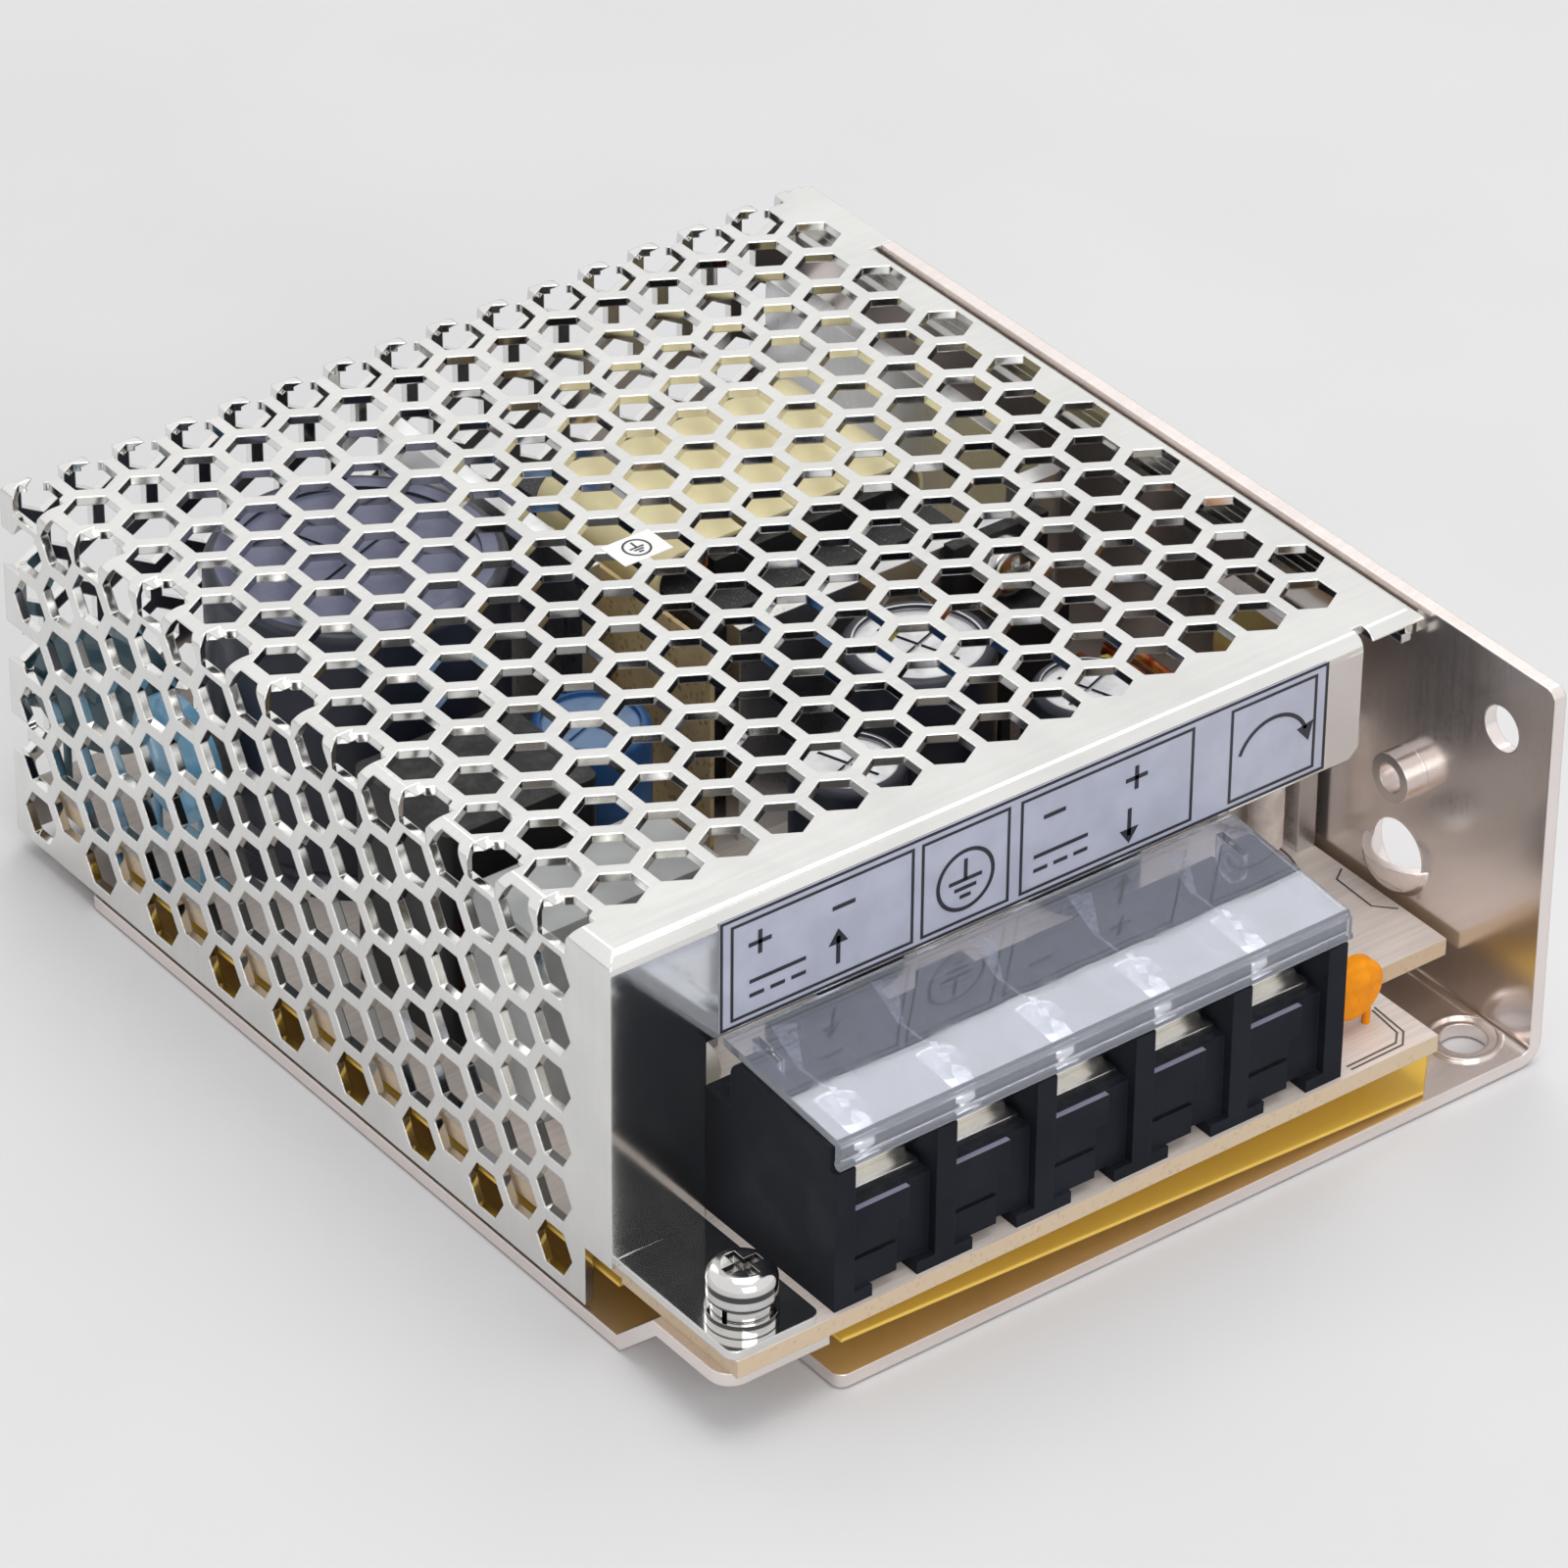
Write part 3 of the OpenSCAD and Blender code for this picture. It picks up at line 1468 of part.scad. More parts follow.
chassis();
case_cover();
insulation_sheet();
circuit_board();
board_screws();
ground_screw();
ground_washers();
terminal_block();
terminal_plates();
terminal_cover();
clamp(0);  // clamp_1
clamp(1);  // clamp_2
clamp(2);  // clamp_3
clamp(3);  // clamp_4
clamp(4);  // clamp_5
terminal_screw(0);  // terminal_screw_1
terminal_screw(1);  // terminal_screw_2
terminal_screw(2);  // terminal_screw_3
terminal_screw(3);  // terminal_screw_4
terminal_screw(4);  // terminal_screw_5
trimmer_body();
trimmer_rotor();
disc_capacitor();
bulk_capacitor();
primary_heatsink();
switch_transistor();
output_heatsink();
output_rectifier();
heatsink_screws();
transformer_core();
transformer_winding();
transformer_bobbin();
transformer_tape();
barrier_paper();
filter_choke_case();
filter_choke_winding();
toroid_core();
toroid_winding();
box_capacitor();
blue_capacitor();
output_capacitor_1();
output_capacitor_2();
output_capacitor_3();
safety_capacitor();
surge_varistor();
bridge_rectifier();
line_fuse();
controller_chip();
opto_coupler();
power_resistors();
side_plate();
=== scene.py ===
"""Looks of an enclosed switching power supply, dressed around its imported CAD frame."""
import logging
import math
from collections.abc import Sequence
from dataclasses import KW_ONLY, dataclass, field
from enum import Enum

import bmesh
import bpy
from mathutils import Matrix, Vector


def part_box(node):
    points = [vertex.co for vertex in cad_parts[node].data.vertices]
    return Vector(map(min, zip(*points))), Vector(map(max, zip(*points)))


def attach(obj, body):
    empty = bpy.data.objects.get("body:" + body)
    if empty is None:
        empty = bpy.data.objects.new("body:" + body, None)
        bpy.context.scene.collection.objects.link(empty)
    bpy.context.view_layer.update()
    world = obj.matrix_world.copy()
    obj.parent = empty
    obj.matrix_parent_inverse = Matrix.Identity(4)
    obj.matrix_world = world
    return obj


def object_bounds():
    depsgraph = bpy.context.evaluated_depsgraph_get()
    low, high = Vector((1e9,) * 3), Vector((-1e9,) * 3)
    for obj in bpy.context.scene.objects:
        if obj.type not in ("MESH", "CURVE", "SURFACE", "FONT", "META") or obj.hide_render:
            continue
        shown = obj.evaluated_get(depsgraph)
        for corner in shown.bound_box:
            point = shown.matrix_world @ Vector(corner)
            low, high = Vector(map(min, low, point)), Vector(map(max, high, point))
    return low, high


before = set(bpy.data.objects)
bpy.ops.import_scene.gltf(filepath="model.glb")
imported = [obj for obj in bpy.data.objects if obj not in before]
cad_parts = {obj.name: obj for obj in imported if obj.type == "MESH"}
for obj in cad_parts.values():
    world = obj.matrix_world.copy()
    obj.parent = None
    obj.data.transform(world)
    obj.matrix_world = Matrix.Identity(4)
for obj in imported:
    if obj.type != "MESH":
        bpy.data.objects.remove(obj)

CAD_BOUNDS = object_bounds()
log = logging.getLogger("power_supply")

Colour = tuple[float, float, float]
Place = tuple[float, float, float]
Point = tuple[float, float]
Outline = tuple[Point, ...]
Socket = bpy.types.NodeSocket
Feeds = dict[int | str, object]

MM = 0.001
CASE_W, CASE_L, CASE_H = (round((high - low) / MM, 3) for low, high in zip(*CAD_BOUNDS))
BOARD_TOP = round(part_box("circuit_board")[1][2] / MM, 3)
# The outer face of the cover's lip, behind the case's front edge.
LIP_Y = 15.0


def corner(x: float, y: float, z: float) -> Vector:
    """Turn millimetres from the case's left side, front edge and underside into the frame's metres."""
    return Vector(((x - CASE_W / 2) * MM, (y - CASE_L / 2) * MM, z * MM))


def srgb(red: int, green: int, blue: int) -> Colour:
    """Turn a colour as seen on a screen, 0 to 255, into the linear colour a shader takes.

    Args:
        red: red part.
        green: green part.
        blue: blue part.

    Returns:
        The linear colour.
    """
    def one(value: int) -> float:
        """Turn one channel."""
        v = value / 255
        return v / 12.92 if v <= 0.04045 else ((v + 0.055) / 1.055) ** 2.4
    return one(red), one(green), one(blue)


def shade(colour: Colour, factor: float) -> Colour:
    """Scale a colour's brightness."""
    return tuple(min(1.0, c * factor) for c in colour)


class Axis(Enum):
    """The axes of the frame that finishes follow: Y to the back, Z up."""

    Y = 1
    Z = 2


class Net:
    """Adds nodes to a node tree and joins them."""

    def __init__(self, tree: bpy.types.NodeTree, last: bpy.types.Node | None = None) -> None:
        """Work on a tree and, where it has one, on the last node that its results feed."""
        self.tree = tree
        self.last = last

    def add(self, kind: str, feeds: Feeds | None = None, **settings: object) -> bpy.types.Node:
        """Add a node.

        Args:
            kind: the node's class name without the leading ShaderNode.
            feeds: sockets or constants for its inputs, by the inputs' names or places.
            settings: attributes of the node.

        Returns:
            The new node.
        """
        node = self.tree.nodes.new("ShaderNode" + kind)
        for key, value in settings.items():
            setattr(node, key, value)
        for key, value in (feeds or {}).items():
            self.put(node.inputs[key], value)
        return node

    def put(self, socket: Socket, value: object) -> None:
        """Feed an input from a socket, or set it to a number, colour or vector.

        Args:
            socket: the input.
            value: an output socket, or a constant.
        """
        if isinstance(value, Socket):
            self.tree.links.new(value, socket)
        elif isinstance(value, tuple) and socket.type == "RGBA":
            socket.default_value = (*value, 1.0)
        else:
            socket.default_value = value

    def feed(self, name: str, value: object) -> None:
        """Feed or set an input of the last node."""
        self.put(self.last.inputs[name], value)

    def math(self, operation: str, a: object, b: object = 0.0, c: object = None,
             clamp: bool = False) -> Socket:
        """Join values or sockets by a calculation, whose result can be kept between 0 and 1."""
        feeds = {place: value for place, value in enumerate((a, b, c)) if value is not None}
        return self.add("Math", feeds, operation=operation, use_clamp=clamp).outputs[0]

    def ramp(self, value: Socket, low: float, high: float,
             to_low: float = 0.0, to_high: float = 1.0) -> Socket:
        """Map a value smoothly from the range low to high onto the range to_low to to_high."""
        feeds = {"Value": value, "From Min": low, "From Max": high, "To Min": to_low, "To Max": to_high}
        return self.add("MapRange", feeds, interpolation_type="SMOOTHSTEP").outputs["Result"]

    def blend(self, factor: Socket, first: object, second: object, mode: str = "MIX") -> Socket:
        """Mix two colours or sockets: a factor of 0 gives the first, 1 gives the second."""
        feeds = {0: factor, 6: first, 7: second}
        return self.add("Mix", feeds, data_type="RGBA", blend_type=mode, clamp_factor=True).outputs[2]

    def millimetres(self, stretch: Place = (1.0, 1.0, 1.0)) -> Socket:
        """Give the surface's own coordinates in millimetres.

        Args:
            stretch: factors along X, Y and Z.

        Returns:
            The coordinate.
        """
        place = self.add("TexCoord").outputs["Object"]
        scale = tuple(s / MM for s in stretch)
        return self.add("VectorMath", {0: place, 1: scale}, operation="MULTIPLY").outputs[0]

    def noise(self, at: Socket, size: object, detail: float, rough: float = 0.5) -> Socket:
        """Give a cloudy noise.

        Args:
            at: coordinate in millimetres.
            size: size of a cloud in millimetres, a number or a socket.
            detail: how many finer layers it has.
            rough: how strong the finer layers are.

        Returns:
            A value around 0.5.
        """
        scale = self.math("DIVIDE", 1.0, size) if isinstance(size, Socket) else 1.0 / size
        feeds = {"Vector": at, "Scale": scale, "Detail": detail, "Roughness": rough}
        return self.add("TexNoise", feeds, noise_dimensions="3D").outputs[0]

    def facing(self, axis: Axis, low: float, high: float) -> Socket:
        """Mask the faces that look along an axis, from a low to a high part of their normal."""
        normal = self.add("NewGeometry").outputs["True Normal"]
        return self.ramp(self.add("SeparateXYZ", {0: normal}).outputs[axis.value], low, high)

    def along(self, axis: Axis) -> Socket:
        """Give one coordinate of the surface in millimetres."""
        return self.add("SeparateXYZ", {0: self.millimetres()}).outputs[axis.value]

    def bump(self, height: Socket, strength: float, depth: float, normal: Socket | None = None) -> Socket:
        """Turn a height into a normal.

        Args:
            height: the height, 0 to 1.
            strength: how much of it shows.
            depth: depth of the full height in millimetres.
            normal: a normal it adds to.

        Returns:
            The normal.
        """
        feeds = {"Strength": strength, "Distance": depth * MM, "Height": height}
        if normal is not None:
            feeds["Normal"] = normal
        return self.add("Bump", feeds).outputs["Normal"]

    def rounded(self, radius: object) -> Socket:
        """Give a normal that runs round the sharp edges, at a radius in metres."""
        return self.add("Bevel", {"Radius": radius}, samples=4).outputs["Normal"]


class Effect(Enum):
    """The surface effects that several finishes share."""

    SHEET_GRAIN = "sheet_grain"
    EDGE_WEAR = "edge_wear"
    SMUDGE = "smudge"
    MOULD_GRAIN = "mould_grain"
    DUST = "dust"
    SPECKLE = "speckle"


Group = tuple[Net, bpy.types.NodeOutputs]


class Effects:
    """Builds each shared effect once, as a node group, and places it in materials."""

    _made: dict[Effect, bpy.types.NodeTree] = {}

    @classmethod
    def _start(cls, effect: Effect, inputs: dict[str, float], outputs: list[str]) -> Group:
        """Make an empty group with named sockets.

        Args:
            effect: the effect that the group holds.
            inputs: input names with their usual values.
            outputs: output names.

        Returns:
            The group's net, and the sockets that give its inputs.
        """
        tree = bpy.data.node_groups.new(effect.value, "ShaderNodeTree")
        for label, value in inputs.items():
            socket = tree.interface.new_socket(name=label, in_out="INPUT", socket_type="NodeSocketFloat")
            socket.default_value = value
        for label in outputs:
            tree.interface.new_socket(name=label, in_out="OUTPUT", socket_type="NodeSocketFloat")
        cls._made[effect] = tree
        given = tree.nodes.new("NodeGroupInput").outputs
        return Net(tree, tree.nodes.new("NodeGroupOutput")), given

    @classmethod
    def _sheet_grain(cls) -> None:
        """Rolled and plated sheet: fine grain, long rolling streaks and soft cloudy patches."""
        net, given = cls._start(Effect.SHEET_GRAIN, {"Grain": 0.35, "Patch": 7.0}, ["Tint", "Height"])
        fine = net.noise(net.millimetres(), given["Grain"], 3.0, 0.6)
        streak = net.noise(net.millimetres((0.06, 1.0, 0.06)), 0.5, 2.0)
        patch = net.noise(net.millimetres(), given["Patch"], 3.0)
        cloud = net.math("ADD", net.math("MULTIPLY", streak, 0.25), net.math("MULTIPLY", patch, 0.75))
        relief = net.math("ADD", net.math("MULTIPLY", fine, 0.6), net.math("MULTIPLY", streak, 0.4))
        net.feed("Tint", net.ramp(cloud, 0.3, 0.7))
        net.feed("Height", relief)

    @classmethod
    def _edge_wear(cls) -> None:
        """Wear along sharp edges, broken up by noise."""
        net, given = cls._start(Effect.EDGE_WEAR, {"Radius": 0.25}, ["Mask"])
        bent = net.rounded(net.math("MULTIPLY", given["Radius"], MM))
        flat = net.add("NewGeometry").outputs["True Normal"]
        like = net.add("VectorMath", {0: bent, 1: flat}, operation="DOT_PRODUCT").outputs["Value"]
        turned = net.math("SUBTRACT", 1.0, like)
        broken = net.ramp(net.noise(net.millimetres(), 1.2, 3.0), 0.3, 0.65, 0.35, 1.0)
        net.feed("Mask", net.math("MULTIPLY", net.ramp(turned, 0.02, 0.25), broken, clamp=True))

    @classmethod
    def _smudge(cls) -> None:
        """Handling marks: soft patches of different gloss."""
        net, given = cls._start(Effect.SMUDGE, {"Size": 6.0}, ["Mask"])
        cloud = net.noise(net.millimetres(), given["Size"], 4.0, 0.6)
        net.feed("Mask", net.ramp(cloud, 0.42, 0.68))

    @classmethod
    def _mould_grain(cls) -> None:
        """Moulded plastic: a fine spark-eroded grain and slow flow patches."""
        net, given = cls._start(Effect.MOULD_GRAIN, {"Grain": 0.18, "Flow": 5.0}, ["Height", "Flow"])
        fine = net.noise(net.millimetres(), given["Grain"], 2.0, 0.6)
        flow = net.noise(net.millimetres(), given["Flow"], 2.0)
        net.feed("Height", fine)
        net.feed("Flow", net.ramp(flow, 0.3, 0.7))

    @classmethod
    def _dust(cls) -> None:
        """Fine dust that lies on upward faces."""
        net, given = cls._start(Effect.DUST, {"Amount": 0.3}, ["Mask"])
        up = net.facing(Axis.Z, 0.3, 0.95)
        cloud = net.ramp(net.noise(net.millimetres(), 2.4, 5.0, 0.7), 0.38, 0.75)
        settled = net.math("MULTIPLY", up, cloud)
        net.feed("Mask", net.math("MULTIPLY", settled, given["Amount"], clamp=True))

    @classmethod
    def _speckle(cls) -> None:
        """Small spots, as fibres or grains in a pressed material."""
        net, given = cls._start(Effect.SPECKLE, {"Size": 0.5, "Share": 0.4}, ["Mask"])
        feeds = {"Vector": net.millimetres(), "Scale": net.math("DIVIDE", 1.0, given["Size"])}
        cells = net.add("TexVoronoi", feeds, feature="F1")
        spot = net.math("LESS_THAN", cells.outputs["Distance"], given["Share"])
        soft = net.ramp(net.noise(net.millimetres(), 1.6, 3.0), 0.35, 0.65)
        net.feed("Mask", net.math("MULTIPLY", spot, soft))

    @classmethod
    def use(cls, net: Net, effect: Effect, **values: float) -> dict[str, Socket]:
        """Place an effect in a material.

        Args:
            net: the material's net.
            effect: the effect.
            values: its inputs.

        Returns:
            Its outputs by name.
        """
        builders = {
            Effect.SHEET_GRAIN: cls._sheet_grain, Effect.EDGE_WEAR: cls._edge_wear,
            Effect.SMUDGE: cls._smudge, Effect.MOULD_GRAIN: cls._mould_grain,
            Effect.DUST: cls._dust, Effect.SPECKLE: cls._speckle,
        }
        if effect not in cls._made:
            builders[effect]()
        node = net.add("Group", values, node_tree=cls._made[effect])
        return {socket.name: socket for socket in node.outputs}


def new_material(label: str) -> tuple[bpy.types.Material, Net]:
    """Make a plain material.

    Args:
        label: its name.

    Returns:
        The material, and the net of its nodes.
    """
    made = bpy.data.materials.new(label)
    made.use_nodes = True
    return made, Net(made.node_tree, made.node_tree.nodes["Principled BSDF"])


@dataclass(frozen=True)
class Finish:
    """A finish: its name, its colour, its roughness and how far they vary. Sizes are in millimetres.

    Tones are shades of the colour at the two ends of a mask, and steps are added to the roughness there.
    Relief is the share and the depth of a grain. Sharp edges are rounded where there is an edge radius.
    """

    name: str
    colour: Colour
    roughness: float
    _: KW_ONLY
    tones: Point = (0.85, 1.1)
    steps: Point = (0.0, 0.08)
    relief: Point = (0.25, 0.03)
    edge: float = 0.0

    def material(self) -> bpy.types.Material:
        """Make the finish's material, or give the one that was made before.

        Returns:
            The material, whose name differs from those that came with the frame.
        """
        label = "finish_" + self.name
        known = bpy.data.materials.get(label)
        if known is not None:
            return known
        made, net = new_material(label)
        self.wire(net)
        return made

    def toned(self, net: Net, mask: Socket, tones: Point | None = None) -> Socket:
        """Vary the colour between its own tones, or between those given."""
        first, second = (shade(self.colour, tone) for tone in tones or self.tones)
        return net.blend(mask, first, second)

    def marked(self, net: Net, mask: Socket, base: Socket, tone: float) -> Socket:
        """Lay a tone of the colour over a base, where a mask is full."""
        return net.blend(mask, base, shade(self.colour, tone))

    def gloss(self, net: Net, mask: Socket, low: float = 0.0, high: float = 1.0) -> Socket:
        """Vary the roughness between its steps, while a mask goes from low to high."""
        return net.ramp(mask, low, high, *(self.roughness + step for step in self.steps))

    def cover(self, net: Net, colour: Socket, rough: Socket, height: Socket) -> None:
        """Feed what every finish has.

        Args:
            net: the material's net.
            colour: its colour.
            rough: its roughness.
            height: its grain, which is raised over the rounded edges.
        """
        edges = net.rounded(self.edge * MM) if self.edge > 0 else None
        net.feed("Base Color", colour)
        net.feed("Roughness", rough)
        net.feed("Normal", net.bump(height, *self.relief, edges))

    def wire(self, net: Net) -> None:
        """Feed the finish's shader."""
        raise NotImplementedError


@dataclass(frozen=True, kw_only=True)
class PlatedSheet(Finish):
    """Plated sheet metal with rolling grain, smudges and rounded edges."""

    tones: Point = (0.9, 1.0)
    relief: Point = (0.05, 0.02)
    edge: float = 0.18
    gloss_share: float = 0.15
    metal: float = 1.0

    def wire(self, net: Net) -> None:
        """Feed the finish's shader.

        Args:
            net: the material's net.
        """
        grain = Effects.use(net, Effect.SHEET_GRAIN, Grain=0.35, Patch=9.0)
        smudge = Effects.use(net, Effect.SMUDGE, Size=11.0)
        vary = self.gloss_share * self.roughness
        even = net.ramp(grain["Height"], 0.3, 0.7, self.roughness - vary, self.roughness + vary)
        rough = net.math("MULTIPLY_ADD", smudge["Mask"], vary, even)
        net.feed("Metallic", self.metal)
        self.cover(net, self.toned(net, grain["Tint"]), rough, grain["Height"])


@dataclass(frozen=True, kw_only=True)
class TurnedMetal(Finish):
    """Bright plated small metal, with fine tool marks, worn edges and, on stacked rings, painted shade in
    the dark lines between them.
    """

    tones: Point = (0.93, 1.0)
    steps: Point = (0.0, 0.06)
    relief: Point = (0.02, 0.01)
    edge: float = 0.12
    edge_wear_and_highlight: float = 1.15
    rings: float = 0.0
    ring_shade: float = 0.12

    def wire(self, net: Net) -> None:
        """Feed the finish's shader.

        Args:
            net: the material's net.
        """
        grain = Effects.use(net, Effect.SHEET_GRAIN, Grain=0.12, Patch=2.5)
        smudge = Effects.use(net, Effect.SMUDGE, Size=1.5)
        wear = Effects.use(net, Effect.EDGE_WEAR, Radius=self.edge)
        worn = self.marked(net, wear["Mask"], self.toned(net, grain["Tint"]), self.edge_wear_and_highlight)
        # Dark lines between stacked rings: painted shade where the washers meet.
        if self.rings > 0:
            turn = net.math("SINE", net.math("MULTIPLY", net.along(Axis.Z), 2 * math.pi / self.rings))
            upright = net.math("SUBTRACT", 1.0, net.facing(Axis.Z, 0.3, 0.6))
            ring_shade_mask = net.math("MULTIPLY", net.ramp(turn, -0.2, 0.5), upright)
            worn = self.marked(net, ring_shade_mask, worn, self.ring_shade)
        net.feed("Metallic", 1.0)
        self.cover(net, worn, self.gloss(net, smudge["Mask"]), grain["Height"])


@dataclass(frozen=True, kw_only=True)
class Moulded(Finish):
    """Moulded plastic with a fine grain, flow patches, edges made lighter partly by wear and partly by a
    painted highlight, and a little dust.

    The upward faces of the front ledges, between two heights and before a given depth of the frame, can
    carry a painted highlight colour.
    """

    tones: Point = (0.82, 1.15)
    steps: Point = (-0.04, 0.06)
    relief: Point = (0.25, 0.02)
    edge: float = 0.15
    edge_wear_and_highlight: float = 2.2
    dust: float = 0.06
    dust_colour: Colour = srgb(150, 146, 140)
    specular: float = 0.3
    # A painted highlight colour for the front ledges' upward faces, with its heights and depth.
    ledge_highlight: Colour | None = None
    ledge_highlight_z: Point = (0.0, 0.0)
    ledge_highlight_y: float = 0.0

    def wire(self, net: Net) -> None:
        """Feed the finish's shader.

        Args:
            net: the material's net.
        """
        grain = Effects.use(net, Effect.MOULD_GRAIN, Grain=0.16, Flow=6.0)
        wear = Effects.use(net, Effect.EDGE_WEAR, Radius=self.edge)
        dust = Effects.use(net, Effect.DUST, Amount=self.dust)
        # Lighter edges: partly wear, partly a painted highlight.
        worn = self.marked(net, wear["Mask"], self.toned(net, grain["Flow"]), self.edge_wear_and_highlight)
        # Painted highlight: a pale colour on the upward faces of the front ledges.
        if self.ledge_highlight is not None:
            worn = net.blend(self.on_ledge_highlight(net), worn, self.ledge_highlight)
        net.feed("Specular IOR Level", self.specular)
        colour = net.blend(dust["Mask"], worn, self.dust_colour)
        self.cover(net, colour, self.gloss(net, grain["Flow"]), grain["Height"])

    def on_ledge_highlight(self, net: Net) -> Socket:
        """Mask the upward faces of the front ledges, where the highlight is painted.

        Args:
            net: the material's net.

        Returns:
            The mask.
        """
        height = net.along(Axis.Z)
        low, high = self.ledge_highlight_z
        band = net.math("MULTIPLY", net.ramp(height, low - 0.3, low), net.ramp(height, high + 0.3, high))
        before = net.ramp(net.along(Axis.Y), self.ledge_highlight_y + 0.1, self.ledge_highlight_y)
        return net.math("MULTIPLY", net.facing(Axis.Z, 0.7, 0.9), net.math("MULTIPLY", band, before))


@dataclass(frozen=True, kw_only=True)
class Dipped(Finish):
    """Dipped lacquer coat, glossy and slightly uneven."""

    tones: Point = (0.80, 1.08)
    relief: Point = (0.25, 0.06)
    smudged: float = 0.92
    coat: float = 0.5
    specular: float = 0.5

    def wire(self, net: Net) -> None:
        """Feed the finish's shader.

        Args:
            net: the material's net.
        """
        grain = Effects.use(net, Effect.MOULD_GRAIN, Grain=0.5, Flow=1.8)
        smudge = Effects.use(net, Effect.SMUDGE, Size=1.2)
        base = self.toned(net, grain["Flow"])
        net.feed("Coat Weight", self.coat)
        net.feed("Specular IOR Level", self.specular)
        colour = self.marked(net, smudge["Mask"], base, self.smudged)
        self.cover(net, colour, self.gloss(net, grain["Flow"]), grain["Height"])


@dataclass(frozen=True, kw_only=True)
class Sleeved(Finish):
    """A can in a shrunk sleeve, whose top shows the bare or covered end."""

    top: Colour
    top_metal: float
    top_share: float
    centre: Point
    radius: float
    steps: Point = (0.0, 0.12)
    relief: Point = (0.2, 0.03)
    edge: float = 0.2
    edge_wear_and_highlight: float = 1.8
    scuffed: float = 0.82
    rim: float = 0.15

    def wire(self, net: Net) -> None:
        """Feed the finish's shader.

        Args:
            net: the material's net.
        """
        grain = Effects.use(net, Effect.MOULD_GRAIN, Grain=0.3, Flow=4.0)
        wear = Effects.use(net, Effect.EDGE_WEAR, Radius=0.25)
        scuff = Effects.use(net, Effect.SMUDGE, Size=3.0)
        lid = self.on_lid(net)
        worn = self.marked(net, wear["Mask"], self.toned(net, grain["Flow"]), self.edge_wear_and_highlight)
        lid_colour = net.blend(scuff["Mask"], self.top, shade(self.top, self.scuffed))
        if self.top_metal > 0:
            net.feed("Metallic", net.math("MULTIPLY", lid, self.top_metal))
        colour = net.blend(lid, worn, lid_colour)
        self.cover(net, colour, self.gloss(net, scuff["Mask"]), grain["Height"])

    def on_lid(self, net: Net) -> Socket:
        """Mask the round end that the sleeve leaves open.

        Args:
            net: the material's net.

        Returns:
            The mask.
        """
        flat = net.millimetres((1.0, 1.0, 0.0))
        away = net.add("VectorMath", {0: flat, 1: (*self.centre, 0.0)}, operation="DISTANCE")
        reach = self.top_share * self.radius
        inside = net.ramp(away.outputs["Value"], reach, reach - self.rim)
        return net.math("MULTIPLY", inside, net.facing(Axis.Z, 0.2, 0.4))


@dataclass(frozen=True, kw_only=True)
class Wound(Finish):
    """Enamelled wire laid in turns along an axis, with painted shade in the grooves between the turns."""

    axis: Axis
    wire_d: float
    tones: Point = (0.18, 1.0)
    steps: Point = (0.0, 0.1)
    relief: Point = (0.8, 0.2)
    smudged: float = 0.75
    metal: float = 0.75
    waver_size: float = 3.0
    waver_share: float = 0.5

    def wire(self, net: Net) -> None:
        """Feed the finish's shader.

        Args:
            net: the material's net.
        """
        smudge = Effects.use(net, Effect.SMUDGE, Size=2.0)
        waver = net.math("MULTIPLY", net.noise(net.millimetres(), self.waver_size, 1.0), self.waver_share)
        phase = net.math("ADD", net.math("DIVIDE", net.along(self.axis), self.wire_d), waver)
        turn = net.math("ABSOLUTE", net.math("SINE", net.math("MULTIPLY", phase, math.pi)))
        # The dark tone between turns is painted shade in the grooves between wires.
        base = self.toned(net, net.ramp(turn, 0.05, 0.7))
        dulled = net.blend(smudge["Mask"], base, shade(self.colour, self.smudged), "MULTIPLY")
        net.feed("Metallic", self.metal)
        self.cover(net, dulled, self.gloss(net, smudge["Mask"]), turn)


@dataclass(frozen=True, kw_only=True)
class Pressed(Finish):
    """Pressed or sintered material: paper, ferrite or powder core, with specks."""

    speck: Colour
    speck_size: float
    speck_share: float = 0.35
    steps: Point = (-0.05, 0.05)
    relief: Point = (0.35, 0.05)
    edge: float = 0.15
    edge_wear_and_highlight: float = 1.5

    def wire(self, net: Net) -> None:
        """Feed the finish's shader.

        Args:
            net: the material's net.
        """
        grain = Effects.use(net, Effect.MOULD_GRAIN, Grain=0.3, Flow=4.0)
        specks = Effects.use(net, Effect.SPECKLE, Size=self.speck_size, Share=self.speck_share)
        wear = Effects.use(net, Effect.EDGE_WEAR, Radius=0.2)
        flecked = net.blend(specks["Mask"], self.toned(net, grain["Flow"]), self.speck)
        colour = self.marked(net, wear["Mask"], flecked, self.edge_wear_and_highlight)
        self.cover(net, colour, self.gloss(net, grain["Flow"]), grain["Height"])


@dataclass(frozen=True, kw_only=True)
class Taped(Finish):
    """Glossy tape in overlapping turns, with faint wrinkles."""

    tones: Point = (0.88, 1.06)
    steps: Point = (0.0, 0.12)
    relief: Point = (0.35, 0.12)
    edge: float = 0.3
    scuffed: float = 0.93
    coat: float = 0.3

    def wire(self, net: Net) -> None:
        """Feed the finish's shader.

        Args:
            net: the material's net.
        """
        grain = Effects.use(net, Effect.MOULD_GRAIN, Grain=1.2, Flow=5.0)
        scuff = Effects.use(net, Effect.SMUDGE, Size=2.5)
        base = self.toned(net, grain["Flow"])
        net.feed("Coat Weight", self.coat)
        colour = self.marked(net, scuff["Mask"], base, self.scuffed)
        self.cover(net, colour, self.gloss(net, scuff["Mask"]), grain["Height"])


